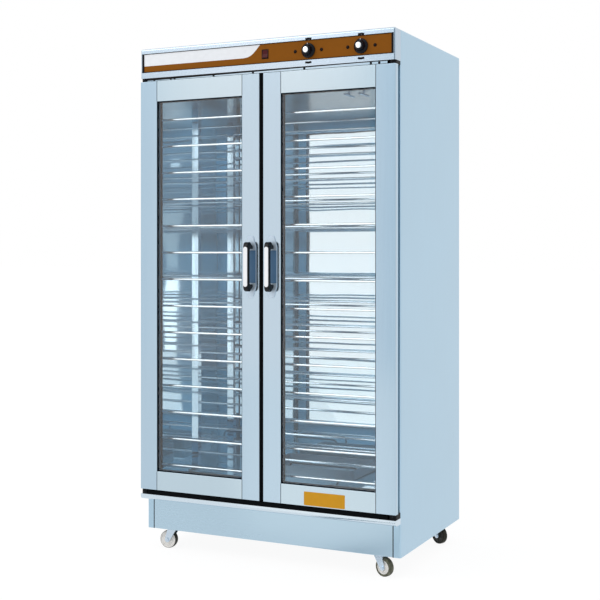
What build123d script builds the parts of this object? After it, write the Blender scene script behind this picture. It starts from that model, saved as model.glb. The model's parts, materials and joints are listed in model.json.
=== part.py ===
from build123d import *
import os
from math import cos, pi, radians, sin

# Two-door glazed tray proofing cabinet on swivel casters, in millimetres.
# X runs to the right, Y from front to back, Z up. The origin is on the floor,
# under the middle of everything that the cabinet reaches.

# ---- casing ----
cabinet_width = 1000.0
cabinet_depth = 682.0        # face of the doors to the back panel
cabinet_top = 1842.0
skirt_bottom = 76.0          # lower edge of the side panels and the apron
door_zone = 48.0             # doors, header and sill stand this far ahead of the carcass
sheet = 1.2                  # outer steel sheet
liner_sheet = 0.8            # inner polished sheet
edge_radius = 6.0            # pressed outer edges
flange_width = 27.0          # folded front and rear edges of the side panels
side_wall = 36.0             # skin, foam and liner together
back_wall = 30.0
fit_gap = 0.3                # between sheets that are fitted edge to edge

# ---- levels above the floor ----
sill_bottom = 191.0
sill_top = 211.0
door_bottom = 229.0
chamber_floor = 248.0
bottom_panel_level = 92.0

# ---- depths below the top of the cabinet ----
header_depth = 107.6
door_drop = 120.0            # upper edge of the doors
ceiling_drop = 139.0
floor_foam = 35.0
ceiling_foam = 35.0
pan_rise = 30.0              # turned-up edge of the bottom panel
frame_sheet = 2.4            # heavier sheet of the base
apron_fold = 8.0
channel_width = 60.0
channel_front_inset = 168.0  # from the doors' face
channel_back_inset = 180.0   # from the back panel
channel_inset = 60.0         # ends of the base channels from the casing's sides
lid_fold = 18.0
sill_nose_radius = 14.0
seal_gap = 2.5               # sill seal to the lower edge of the doors

# ---- vents in the back panel ----
vent_length = 90.0
vent_height = 6.0
vent_pitch = 14.0
vent_rows = 5
vent_offset = 240.0

# ---- header and controls ----
fascia_top_band = 18.0       # header frame above, below and beside the fascia's window
fascia_bottom_band = 20.6
fascia_end_band = 9.0
fascia_lap = 6.0             # hidden edge of the fascia above and below the window
fascia_plate = 1.6
control_drop = 55.0          # knobs, lamps and switch below the cabinet's top
knob_insets = {"temperature": 318.0, "humidity": 123.0}
knob_diameter = 52.0
knob_reach = 25.0
knob_skirt = 7.0             # height of the knob's round base
knob_neck = 40.0             # diameter of its fluted part
knob_taper = 4.0
knob_flutes = 10
flute_diameter = 8.0
flute_depth = 1.4
cap_diameter = 21.0
cap_proud = 0.8
knob_standoff = 0.9
shaft_diameter = 6.0
shaft_tail = 22.0            # shaft behind the fascia
bush_diameter = 10.0
thermostat_size = 40.0
thermostat_depth = 30.0
bulb_diameter = 8.0
bulb_length = 90.0
bulb_places = (140.0, 200.0)
running_clearance = 0.05     # radial, for shafts and pins
lamp_diameter = 9.5
lamp_offset = 49.5
lamp_flange = 2.0
lamp_depth = 22.0
switch_centre = 15.0
switch_width = 26.0
switch_height = 33.0
switch_wall = 1.5
switch_depth = 24.0
bezel_thickness = 2.4
rocker_width = 20.0
rocker_height = 26.4
rocker_clearance = 0.4
rocker_face = 6.2            # tips of the key ahead of its pivot
rocker_vee = 1.8
rocker_belly = 8.0
rocker_axis_depth = 4.5      # pivot behind the doors' face
rocker_tilt = 8.0            # degrees each side of level

# ---- doors ----
door_thickness = 25.0
meeting_half_gap = 7.7
meeting_stile = 68.6
hinge_stile = 70.2
top_rail = 74.5
bottom_rail = 69.0
tube_wall = 1.5
glass_thickness = 5.0
glass_setback = 5.0
glazing_bite = 7.0           # depth of the glazing groove
glazing_lip = 1.5            # rubber on each face of the glass
glazing_sight = 3.0          # rubber that shows round the glass
gasket_width = 12.0
gasket_inset = 14.0
gasket_seat_gap = 0.3
meeting_seal_gap = 0.5       # half of the gap between the two meeting seals
hinge_inset = 14.0           # pin axis from the door's outer edge and from its face
pin_diameter = 8.0
pin_engagement = 15.0
door_plug = 22.0             # solid end of each stile tube
gasket_end_inset = 7.0
hinge_bracket_half = 13.0
bracket_gap = 0.4            # upper pivot plate to the top of the door
rail_depth = 23.0
rail_lip = 3.4               # shadow line between hinge rail and header
rail_gap = 1.5
rail_screws_left = (29.0, 100.0, 116.0, 279.0)     # from the rail's left end
rail_screws_right = (29.0, 59.0, 305.0, 504.0)     # from its right end
screw_shank = 3.5
screw_head = 9.0
screw_length = 12.0

# ---- handles ----
handle_reach = 42.0
handle_length = 173.0
handle_middle = 1047.0
handle_centre = 41.0
handle_width = 18.5
grip_depth = 17.0
handle_leg = 25.0
handle_plate = (44.0, 215.0, 3.0)    # width, length and thickness of its base plate
plate_taper = (40.0, 10.0)           # length of each tapered end and its half width at the tip
plate_rounding = 9.0
handle_bend = 17.0
foot_reach = 17.0            # depth over which each foot narrows towards its plate
foot_taper = 13.0
strip_width = 15.5
strip_proud = 0.8

# ---- tray racks ----
tray_levels = 14
lowest_tray = 314.0
top_tray_space = 118.25      # highest rod to the ceiling
rod_diameter = 8.0
upright_thickness = 3.0
upright_depth = 18.0
front_row = 62.0             # front edge of the first uprights, from the doors' face
rear_row_space = 26.0        # front edge of the last uprights to the rear wall
channel_width = 14.0         # of the wall channels, out from the side wall
channel_depth = 24.0
mullion_half = 44.0
mullion_depth = 34.0

# ---- heat and steam ----
tray_length = 380.0
tray_depth = 38.0
tray_corner = 18.0
tray_gap = 9.0               # to the rows of uprights before and behind it
element_diameter = 8.0
steam_element = (300.0, 90.0, 14.0)
air_element = (220.0, 100.0, 26.0)
air_element_inset = (64.0, 198.0)    # from the side wall and from the doors' face

# ---- casters ----
wheel_diameter = 65.0
wheel_width = 24.0
axle_diameter = 8.0
caster_trail = 26.0
fork_plate = 3.0
fork_gap = 1.5               # wheel to each fork leg
front_caster_inset = (95.0, 88.0)    # from the casing's side and from the doors' face
rear_caster_inset = (68.0, 92.0)     # from the casing's side and from the back panel
caster_yaws = {"front_left": -176.0, "front_right": -16.0, "rear_left": 190.0, "rear_right": -27.0}
kingpin_diameter = 10.0
fork_top = 78.0
fork_crown = 39.0
fork_ear = 10.0              # radius round the axle at the foot of each leg
fork_race = 3.6
race_diameter = 40.0
race_gap = 0.4
caster_plate_thickness = 3.0
bolt_half_x = 32.0
bolt_half_y = 22.0
bolt_diameter = 6.0

# ---- supply cable gland ----
gland_reach = 16.0
gland_bore = 9.0
gland_thread = 20.0
gland_hexagon = 13.0
gland_flange = 6.0
gland_inset = 170.0
gland_level = 150.0

# ---- places that follow from the sizes above ----
half_width = cabinet_width / 2
door_face = handle_reach - (handle_reach + cabinet_depth + gland_reach) / 2
carcass_face = door_face + door_zone
back_face = door_face + cabinet_depth
liner_side = half_width - side_wall
liner_back = back_face - back_wall
header_bottom = cabinet_top - header_depth
door_top = cabinet_top - door_drop
chamber_ceiling = cabinet_top - ceiling_drop
fascia_bottom = header_bottom + fascia_bottom_band
fascia_top = cabinet_top - fascia_top_band
control_level = cabinet_top - control_drop
knob_places = {name: half_width - inset for name, inset in knob_insets.items()}
frame_depth = 12.0
rod_radius = rod_diameter / 2
rear_row = cabinet_depth - back_wall - rear_row_space
middle_row = (front_row + rear_row) / 2
tray_pitch = (chamber_ceiling - top_tray_space - lowest_tray) / (tray_levels - 1)
tray_heights = [lowest_tray + tray_pitch * level for level in range(tray_levels)]
hinge_x = half_width - hinge_inset
hinge_y = door_face + hinge_inset
rail_half = hinge_x - hinge_bracket_half - 2
rail_screws = [inset - rail_half for inset in rail_screws_left]
rail_screws += [rail_half - inset for inset in rail_screws_right]
front_caster = (half_width - front_caster_inset[0], front_caster_inset[1])
rear_caster = (half_width - rear_caster_inset[0], cabinet_depth - rear_caster_inset[1])
gland_place = (half_width - gland_inset, gland_level)


def block(x_span, y_span, z_span):
    """A straight-sided solid between three pairs of planes."""
    spans = (x_span, y_span, z_span)
    size = [high - low for low, high in spans]
    middle = [(high + low) / 2 for low, high in spans]
    return Pos(*middle) * Box(*size)


def save(node, *solids):
    """Write one named piece, made of one or more separate solids."""
    piece = solids[0] if len(solids) == 1 else Compound(children=list(solids))
    export_step(piece, f"parts/{node}.step")


def both_sides(solid):
    """A right-hand solid and its left-hand mirror image."""
    return solid, mirror(solid, about=Plane.YZ)


def rod(start, end, diameter):
    """A round bar between two points."""
    axis = Vector(end) - Vector(start)
    section = Plane(origin=start, z_dir=axis.normalized()) * Circle(diameter / 2)
    return extrude(section, amount=axis.length)


def turned(points, origin, direction):
    """A turned piece: outline points are (radius, distance along the axis)."""
    outline = make_face(Polyline(*points, close=True))
    solid = revolve(Plane.XZ * outline, axis=Axis.Z)
    return Plane(origin=origin, z_dir=direction) * solid


def outer_edges(solid, axis, *limits):
    """Edges along one axis that lie on all the given (axis, value) planes."""
    edges = solid.edges().filter_by(axis)
    for limit_axis, value in limits:
        edges = edges.filter_by_position(limit_axis, value - 0.01, value + 0.01)
    return edges


# ------------------------------------------------------------------ casing

def side_panel():
    """Right-hand side: one sheet with folded front, rear and top edges."""
    x_span = (half_width - flange_width, half_width)
    shell = block(x_span, (carcass_face, back_face), (skirt_bottom, cabinet_top))
    rounded = outer_edges(shell, Axis.Z, (Axis.X, half_width))
    rounded += outer_edges(shell, Axis.Y, (Axis.X, half_width), (Axis.Z, cabinet_top))
    shell = fillet(rounded, edge_radius)
    inner_face = shell.faces().sort_by(Axis.X)[0]
    lower_face = shell.faces().sort_by(Axis.Z)[0]
    return offset(shell, amount=-sheet, openings=[inner_face, lower_face])


def back_panel():
    """Flat sheet between the side panels' folds, with vents for the controls."""
    half = half_width - flange_width - fit_gap
    panel = block((-half, half), (back_face - sheet, back_face), (bottom_panel_level, cabinet_top))
    slot = Rot(90, 0, 0) * extrude(SlotOverall(vent_length, vent_height), amount=2 * sheet, both=True)
    rises = [vent_pitch * (row - (vent_rows - 1) / 2) for row in range(vent_rows)]
    vents = [Pos(x, back_face, control_level + rise) * slot
             for x in (-vent_offset, vent_offset) for rise in rises]
    gland_x, gland_z = gland_place
    gland_hole = rod((gland_x, back_face - 2 * sheet, gland_z), (gland_x, back_face + sheet, gland_z),
                     gland_thread)
    return panel - vents - gland_hole


def top_panel():
    """Shallow lid between the side panels' top folds and behind the header."""
    half = half_width - flange_width - fit_gap
    lid = block((-half, half), (carcass_face + fit_gap, back_face - sheet - fit_gap),
                (cabinet_top - lid_fold, cabinet_top))
    return offset(lid, amount=-sheet, openings=[lid.faces().sort_by(Axis.Z)[0]])


def header_box():
    """Control header: a pressed box, open at the back, with the fascia's window."""
    box = block((-half_width, half_width), (door_face, carcass_face), (header_bottom, cabinet_top))
    rounded = outer_edges(box, Axis.Z, (Axis.Y, door_face))
    rounded += outer_edges(box, Axis.X, (Axis.Y, door_face), (Axis.Z, cabinet_top))
    rounded += outer_edges(box, Axis.Y, (Axis.Z, cabinet_top))
    box = fillet(rounded, edge_radius)
    shell = offset(box, amount=-sheet, openings=[box.faces().sort_by(Axis.Y)[-1]])
    window_half = half_width - fascia_end_band
    window = block((-window_half, window_half), (door_face - 2, door_face + 2 * sheet),
                   (fascia_bottom, fascia_top))
    return shell - window


def control_fascia():
    """Plate behind the header's window, pierced for shafts, lamps and switch."""
    half = half_width - edge_radius - fit_gap
    near = door_face + sheet
    plate = block((-half, half), (near, near + fascia_plate),
                  (fascia_bottom - fascia_lap, fascia_top + fascia_lap))
    holes = []
    for x in knob_places.values():
        holes.append(through_fascia(x, bush_diameter))
        holes += [through_fascia(x + side * lamp_offset, lamp_diameter) for side in (-1, 1)]
    opening = switch_block(-switch_wall, (near - sheet, near + 2 * fascia_plate))
    return plate - holes - opening


def through_fascia(x, diameter):
    """A round cutter through the fascia at control height."""
    return rod((x, door_face, control_level), (x, door_face + 4 * fascia_plate, control_level), diameter)


def switch_block(margin, y_span):
    """A block as large as the switch's face plus a margin all round."""
    half_w = switch_width / 2 + margin
    half_h = switch_height / 2 + margin
    return block((switch_centre - half_w, switch_centre + half_w), y_span,
                 (control_level - half_h, control_level + half_h))


def apron_panel():
    """Recessed kick panel under the sill, with folded upper and lower edges."""
    half = half_width - flange_width - fit_gap
    panel = block((-half, half), (carcass_face, carcass_face + apron_fold), (skirt_bottom, sill_bottom))
    panel = fillet(outer_edges(panel, Axis.X, (Axis.Y, carcass_face), (Axis.Z, skirt_bottom)), 2 * sheet)
    return offset(panel, amount=-sheet, openings=[panel.faces().sort_by(Axis.Y)[-1]])


def sill_nose():
    """Full-width ledge under the doors, with a bull-nosed lower front edge."""
    ledge = block((-half_width, half_width), (door_face, carcass_face), (sill_bottom, sill_top))
    return fillet(outer_edges(ledge, Axis.X, (Axis.Y, door_face), (Axis.Z, sill_bottom)), sill_nose_radius)


def sill_seal():
    """Black rubber strip that fills the space between sill and doors."""
    near = door_face + 2
    top = door_bottom - seal_gap
    strip = block((-rail_half, rail_half), (near, carcass_face), (sill_top, top))
    return fillet(outer_edges(strip, Axis.X, (Axis.Y, near), (Axis.Z, top)), 3)


def bottom_panel():
    """Floor pan of the casing, which the casters are bolted to."""
    half = half_width - sheet - fit_gap
    near = carcass_face + apron_fold + fit_gap
    pan = block((-half, half), (near, back_face - sheet - fit_gap),
                (bottom_panel_level, bottom_panel_level + pan_rise))
    pan = fillet(pan.edges().filter_by(Axis.Z), edge_radius)
    pan = offset(pan, amount=-frame_sheet, openings=[pan.faces().sort_by(Axis.Z)[-1]])
    return pan - bolt_shanks(bottom_panel_level, bottom_panel_level + frame_sheet)


def base_channels():
    """Two folded channels across the base, which carry the insulated floor."""
    low = bottom_panel_level + frame_sheet
    high = chamber_floor - liner_sheet - floor_foam
    half = half_width - channel_inset
    channels = []
    for near in (door_face + channel_front_inset, back_face - channel_back_inset):
        section = block((-half, half), (near, near + channel_width), (low, high))
        ends = [section.faces().sort_by(Axis.X)[0], section.faces().sort_by(Axis.X)[-1],
                section.faces().sort_by(Axis.Y)[-1]]
        channels.append(offset(section, amount=-frame_sheet, openings=ends))
    return channels


# ------------------------------------------------------------ insulated chamber

def opening_frame():
    """Thermal-break frame that closes the front edge of the insulated walls."""
    outer_half = half_width - flange_width - fit_gap
    y_span = (carcass_face, carcass_face + frame_depth)
    outer = block((-outer_half, outer_half), y_span, (sill_top, header_bottom))
    inner = block((-liner_side, liner_side), (y_span[0] - 1, y_span[1] + 1),
                  (chamber_floor, chamber_ceiling))
    return outer - inner


def centre_mullion():
    """Hollow post between the two bays, which the doors' inner edges close on."""
    tube = block((-mullion_half, mullion_half), (carcass_face, carcass_face + mullion_depth),
                 (chamber_floor, chamber_ceiling))
    tube = fillet(tube.edges().filter_by(Axis.Z), 3)
    ends = [tube.faces().sort_by(Axis.Z)[0], tube.faces().sort_by(Axis.Z)[-1]]
    return offset(tube, amount=-sheet, openings=ends)


def liner_panels():
    """The polished sheets of the chamber: right wall, back, ceiling and floor."""
    front = carcass_face + frame_depth
    y_span = (front, liner_back)
    z_span = (chamber_floor, chamber_ceiling)
    x_span = (-liner_side, liner_side)
    right = block((liner_side, liner_side + liner_sheet), y_span, z_span)
    back = block(x_span, (liner_back, liner_back + liner_sheet), z_span)
    ceiling = block(x_span, y_span, (chamber_ceiling, chamber_ceiling + liner_sheet))
    floor = block(x_span, y_span, (chamber_floor - liner_sheet, chamber_floor))
    return right, back, ceiling, floor


def foam_slabs():
    """Insulation behind the five liner panels."""
    front = carcass_face + frame_depth
    outer_x = half_width - sheet
    inner_x = liner_side + liner_sheet
    low = chamber_floor - liner_sheet
    high = chamber_ceiling + liner_sheet
    side = block((inner_x, outer_x), (front, back_face - sheet), (low, high))
    side = fillet(outer_edges(side, Axis.Z, (Axis.X, outer_x), (Axis.Y, back_face - sheet)), edge_radius)
    back = block((-inner_x, inner_x), (liner_back + liner_sheet, back_face - sheet), (low, high))
    ceiling = block((-liner_side, liner_side), (front, liner_back), (high, high + ceiling_foam))
    floor = block((-liner_side, liner_side), (front, liner_back), (low - floor_foam, low))
    return [*both_sides(side), back, ceiling, floor]


# ----------------------------------------------------------------- tray racks

def row_front(setback):
    """Front edge of one row of rack uprights."""
    return door_face + setback


def upright(x_low, setback):
    """One flat vertical bar of the rack."""
    near = row_front(setback)
    return block((x_low, x_low + upright_thickness), (near, near + upright_depth),
                 (chamber_floor, chamber_ceiling))


def wall_channel(setback):
    """Bent channel on the right side wall, centred on one row of rods."""
    middle = row_front(setback) - rod_radius
    near, far = middle - channel_depth / 2, middle + channel_depth / 2
    channel = block((liner_side - channel_width, liner_side), (near, far), (chamber_floor, chamber_ceiling))
    hollow = block((liner_side - channel_width + sheet, liner_side), (near + sheet, far - sheet),
                   (chamber_floor, chamber_ceiling))
    return channel - hollow


def rack_uprights():
    """Flat bars beside the mullion and at the front, and channels on the side walls behind."""
    bars = both_sides(upright(liner_side - upright_thickness, front_row))
    bars += both_sides(upright(mullion_half, front_row))
    for setback in (middle_row, rear_row):
        bars += both_sides(wall_channel(setback))
    return bars


def tray_rods(setback, spans):
    """One row of cross rods, in front of its flat bars or between its channels."""
    y = row_front(setback) - rod_radius
    return [rod((low, y, z), (high, y, z), rod_diameter) for z in tray_heights for low, high in spans]


# ---------------------------------------------------------------- inner fittings

def water_tray():
    """Open pan on the chamber floor that makes the steam."""
    near = row_front(middle_row) + upright_depth + tray_gap
    far = row_front(rear_row) - tray_gap
    pan = block((-tray_length / 2, tray_length / 2), (near, far),
                (chamber_floor, chamber_floor + tray_depth))
    pan = fillet(pan.edges().filter_by(Axis.Z), tray_corner)
    pan = fillet(pan.faces().sort_by(Axis.Z)[0].edges(), tray_corner / 3)
    return offset(pan, amount=-sheet, openings=[pan.faces().sort_by(Axis.Z)[-1]])


def heater_loop(length, width, height):
    """A tubular element bent into a flat U, with its two ends turned down."""
    half = width / 2
    foot_bend = 0.7 * height
    far_bend = 0.9 * half
    path = FilletPolyline((0, -half, 0), (0, -half, height), (length, -half, height),
                          (length, half, height), (0, half, height), (0, half, 0),
                          radius=[foot_bend, far_bend, far_bend, foot_bend])
    section = Plane(origin=path @ 0, z_dir=path % 0) * Circle(element_diameter / 2)
    return sweep(section, path=path)


def heating_elements():
    """One element in the water tray and a dry one on the floor under each bay."""
    tray_middle = (row_front(middle_row) + upright_depth + row_front(rear_row)) / 2
    steam = Pos(-steam_element[0] / 2, tray_middle, chamber_floor + sheet) * heater_loop(*steam_element)
    side_inset, setback = air_element_inset
    place = Pos(liner_side - side_inset - air_element[0], door_face + setback, chamber_floor)
    air = place * heater_loop(*air_element)
    return [steam, *both_sides(air)]


def thermostat(x):
    """Thermostat body with its threaded bush through the fascia."""
    near = door_face + sheet + fascia_plate
    half = thermostat_size / 2
    body = block((x - half, x + half), (near, near + thermostat_depth),
                 (control_level - half, control_level + half))
    body = fillet(body.edges().filter_by(Axis.Y), half / 4)
    bush = rod((x, door_face + sheet / 2, control_level), (x, near + sheet, control_level), bush_diameter)
    bore = rod((x, door_face, control_level), (x, near + shaft_tail + 1, control_level),
               shaft_diameter + 2 * running_clearance)
    return body + bush - bore


def sensor_bulb(x):
    """Thermostat bulb clipped under the chamber's ceiling."""
    drop = 2 * bulb_diameter
    z = chamber_ceiling - drop + bulb_diameter / 2
    start = row_front(middle_row) + upright_depth + bulb_length / 2
    bulb = rod((x, start, z), (x, start + bulb_length, z), bulb_diameter)
    middle = start + bulb_length / 2
    clip = block((x - bulb_diameter, x + bulb_diameter), (middle - bulb_diameter, middle + bulb_diameter),
                 (chamber_ceiling - sheet, chamber_ceiling))
    hanger = block((x - sheet, x + sheet), (middle - bulb_diameter, middle + bulb_diameter),
                   (z, chamber_ceiling))
    return bulb + clip + hanger


def switch_housing():
    """Frame and body of the rocker switch, open at the front."""
    near = door_face + sheet
    bezel = switch_block(0, (near - bezel_thickness, near))
    bezel = chamfer(bezel.faces().sort_by(Axis.Y)[0].edges(), bezel_thickness / 2.4)
    body = switch_block(-switch_wall, (near, near + switch_depth))
    half_w = rocker_width / 2 + rocker_clearance
    swing = radians(rocker_tilt)
    half_h = rocker_height / 2 * cos(swing) + rocker_face * sin(swing) + rocker_clearance
    cavity = block((switch_centre - half_w, switch_centre + half_w),
                   (near - 2 * bezel_thickness, near + rocker_axis_depth + rocker_belly + 1),
                   (control_level - half_h, control_level + half_h))
    return bezel + body - cavity


def rocker():
    """Rocker key with a shallow vee face, resting on its lower side."""
    half = rocker_height / 2
    with BuildSketch(Plane.YZ) as profile:
        with BuildLine():
            Polyline((0, -half), (-rocker_face, -half), (rocker_vee - rocker_face, 0),
                     (-rocker_face, half), (0, half))
            ThreePointArc((0, half), (rocker_belly, 0), (0, -half))
        make_face()
    key = extrude(profile.sketch, amount=rocker_width / 2, both=True)
    return Pos(switch_centre, door_face + rocker_axis_depth, control_level) * Rot(-rocker_tilt, 0, 0) * key


def indicator_lamp(x):
    """Pilot lamp: a domed lens in front and its body behind the fascia."""
    radius = lamp_diameter / 2
    near = sheet + fascia_plate
    nut = radius + lamp_flange
    outline = [(0, -0.4 * radius), (0.6 * radius, -0.3 * radius), (radius, 0), (radius, near), (nut, near),
               (nut, near + lamp_flange), (radius, near + lamp_flange), (radius, near + lamp_depth),
               (0, near + lamp_depth)]
    return turned(outline, (x, door_face, control_level), (0, 1, 0))


def knob(x):
    """Skirted and fluted knob with a round cap in its face, on its own shaft."""
    back = door_face + sheet - knob_standoff
    radius = knob_diameter / 2
    neck = knob_neck / 2
    face = neck - knob_taper
    bevel = knob_skirt / 5
    front = knob_reach - cap_proud
    outline = [(0, 0), (radius - bevel, 0), (radius, bevel), (radius, knob_skirt - bevel),
               (radius - bevel, knob_skirt), (neck + bevel, knob_skirt), (neck, knob_skirt + bevel),
               (face, front - bevel), (face - bevel, front), (0, front)]
    body = turned(outline, (x, back, control_level), (0, -1, 0))
    orbit = face + flute_diameter / 2 - flute_depth
    groove_start = back - knob_skirt - bevel
    grooves = []
    for turn in range(knob_flutes):
        angle = 2 * pi * turn / knob_flutes
        flute_x, flute_z = x + orbit * sin(angle), control_level + orbit * cos(angle)
        grooves.append(rod((flute_x, groove_start, flute_z), (flute_x, back - knob_reach, flute_z),
                           flute_diameter))
    socket_end = back - 0.6 * knob_reach
    bore = rod((x, back + 1, control_level), (x, socket_end, control_level), shaft_diameter)
    relief = rod((x, back + 1, control_level), (x, back - sheet, control_level), bush_diameter + 3)
    shaft_end = door_face + sheet + fascia_plate + shaft_tail
    shaft = rod((x, socket_end, control_level), (x, shaft_end, control_level), shaft_diameter)
    recess = back - knob_reach + 2 * bevel
    cap = rod((x, recess, control_level), (x, back - knob_reach, control_level), cap_diameter)
    seat = rod((x, recess, control_level), (x, back - knob_reach, control_level), cap_diameter)
    cap = chamfer(cap.faces().sort_by(Axis.Y)[0].edges(), cap_proud / 2)
    return [body - grooves - bore - relief - seat, shaft, cap]


def cable_gland():
    """Screwed gland on the back panel, where the supply cable comes out."""
    x, z = gland_place
    start = (x, back_face, z)
    nut_back = back_face - sheet - gland_flange
    flange = extrude(Plane(origin=start, z_dir=(0, 1, 0)) * RegularPolygon(gland_hexagon, 6),
                     amount=gland_flange)
    waist = gland_hexagon - 2.5
    dome = turned([(0, gland_flange), (waist, gland_flange), (waist, 0.7 * gland_reach),
                   (waist - 2.5, gland_reach), (0, gland_reach)], start, (0, 1, 0))
    thread = rod((x, nut_back - 4, z), start, gland_thread)
    nut = extrude(Plane(origin=(x, nut_back, z), z_dir=(0, 1, 0)) * RegularPolygon(gland_hexagon + 1, 6),
                  amount=gland_flange)
    bore = rod((x, nut_back - 5, z), (x, back_face + gland_reach + 1, z), gland_bore)
    return flange + dome + thread + nut - bore


# ------------------------------------------------------------------------ hinges

def hinge_plate(low, high):
    """Round-nosed pivot plate at the right-hand edge, without its pin."""
    half = hinge_bracket_half
    outline = Pos(hinge_x, hinge_y) * Circle(half)
    outline += Pos(hinge_x, (hinge_y + carcass_face) / 2) * Rectangle(2 * half, carcass_face - hinge_y)
    return Pos(0, 0, low) * extrude(outline, amount=high - low)


def hinge_brackets():
    """Upper and lower pivot plates with their pins, on both sides."""
    upper = hinge_plate(door_top + bracket_gap, header_bottom)
    upper += rod((hinge_x, hinge_y, door_top - pin_engagement), (hinge_x, hinge_y, header_bottom),
                 pin_diameter)
    lower = hinge_plate(sill_top, door_bottom - fit_gap)
    lower += rod((hinge_x, hinge_y, sill_top), (hinge_x, hinge_y, door_bottom + pin_engagement),
                 pin_diameter)
    return [*both_sides(upper), *both_sides(lower)]


def hinge_rail():
    """Strip under the header, above the doors, hung on a narrower neck."""
    near = door_face + 1
    face = block((-rail_half, rail_half), (near, near + rail_depth),
                 (door_top + rail_gap, header_bottom - rail_lip))
    neck = block((-rail_half, rail_half), (near + rail_depth / 4, near + rail_depth),
                 (header_bottom - rail_lip, header_bottom))
    return face + neck - [rail_screw_shank(x) for x in rail_screws]


def rail_screw_level():
    """Height of the screws, half way up the face of the hinge rail."""
    return (door_top + rail_gap + header_bottom - rail_lip) / 2


def rail_screw_shank(x):
    """The shank of one screw in the hinge rail, also used as its hole."""
    near = door_face + 1
    return rod((x, near, rail_screw_level()), (x, near + screw_length, rail_screw_level()), screw_shank)


def rail_screw(x):
    """Pan-head screw in the face of the hinge rail."""
    radius = screw_head / 2
    outline = [(0, 0), (radius, 0), (0.7 * radius, 0.5 * radius), (0, 0.6 * radius)]
    return rail_screw_shank(x) + turned(outline, (x, door_face + 1, rail_screw_level()), (0, -1, 0))


# ------------------------------------------------------------------------- doors

def door_x():
    """Outer and inner faces of the right door and the edges of its glass."""
    outer = half_width
    inner = meeting_half_gap
    return inner, inner + meeting_stile, outer - hinge_stile, outer


def glazing_groove(x_span, z_span):
    """The groove round the glass opening, as one solid cutter."""
    near = door_face + glass_setback - glazing_lip
    far = door_face + glass_setback + glass_thickness + glazing_lip
    return block((x_span[0] - glazing_bite, x_span[1] + glazing_bite), (near, far),
                 (z_span[0] - glazing_bite, z_span[1] + glazing_bite))


def hollow_bar(x_span, z_span, cavity_x, cavity_z):
    """A door bar of square-edged tube, closed at its ends."""
    y_span = (door_face, door_face + door_thickness)
    bar = block(x_span, y_span, z_span)
    bar = fillet(bar.faces().sort_by(Axis.Y)[0].edges(), 1)
    cavity = block(cavity_x, (y_span[0] + tube_wall, y_span[1] - tube_wall), cavity_z)
    return bar - cavity


def door_frame():
    """Stiles and rails of the right door, grooved for the glass."""
    inner, glass_in, glass_out, outer = door_x()
    sight_z = (door_bottom + bottom_rail, door_top - top_rail)
    groove = glazing_groove((glass_in, glass_out), sight_z)
    edge = glazing_bite + tube_wall
    cavity_z = (door_bottom + door_plug, door_top - door_plug)
    full_z = (door_bottom, door_top)
    meeting = hollow_bar((inner, glass_in), full_z, (inner + tube_wall, glass_in - edge), cavity_z)
    hinge = hollow_bar((glass_out, outer), full_z, (glass_out + edge, outer - tube_wall), cavity_z)
    cavity_x = (glass_in + tube_wall, glass_out - tube_wall)
    upper = hollow_bar((glass_in, glass_out), (sight_z[1], door_top), cavity_x,
                       (sight_z[1] + edge, door_top - tube_wall))
    lower = hollow_bar((glass_in, glass_out), (door_bottom, sight_z[0]), cavity_x,
                       (door_bottom + tube_wall, sight_z[0] - edge))
    depth = pin_engagement + 1
    bore = pin_diameter + 2 * running_clearance
    bores = [rod((hinge_x, hinge_y, end - depth), (hinge_x, hinge_y, end + depth), bore)
             for end in (door_bottom, door_top)]
    return [meeting - groove, hinge - groove - bores], [upper - groove, lower - groove]


def door_glass():
    """Toughened pane that reaches into the groove all round."""
    inner, glass_in, glass_out, outer = door_x()
    reach = glazing_bite - glazing_lip
    near = door_face + glass_setback
    return block((glass_in - reach, glass_out + reach), (near, near + glass_thickness),
                 (door_bottom + bottom_rail - reach, door_top - top_rail + reach))


def glazing_seal():
    """Black rubber channel round the edge of the pane."""
    inner, glass_in, glass_out, outer = door_x()
    low, high = door_bottom + bottom_rail, door_top - top_rail
    body = glazing_groove((glass_in, glass_out), (low, high))
    sight = block((glass_in + glazing_sight, glass_out - glazing_sight),
                  (door_face, door_face + door_thickness), (low + glazing_sight, high - glazing_sight))
    return body - sight - door_glass()


def door_gasket():
    """Deep bellows gasket on the back of the door."""
    x_span = (meeting_half_gap + 2.5, half_width - gasket_inset)
    z_span = (door_bottom + gasket_end_inset, door_top - gasket_end_inset)
    y_span = (door_face + door_thickness, carcass_face - gasket_seat_gap)
    ring = block(x_span, y_span, z_span)
    ring = fillet(ring.edges().filter_by(Axis.Y), 4)
    return ring - block((x_span[0] + gasket_width, x_span[1] - gasket_width), (y_span[0] - 1, y_span[1] + 1),
                        (z_span[0] + gasket_width, z_span[1] - gasket_width))


def meeting_seal():
    """Rubber blade along the door's meeting edge."""
    blade = block((meeting_seal_gap, meeting_half_gap), (door_face + 2, door_face + door_thickness - 4),
                  (door_bottom, door_top))
    return fillet(outer_edges(blade, Axis.Z, (Axis.X, meeting_seal_gap)), 2)


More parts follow.
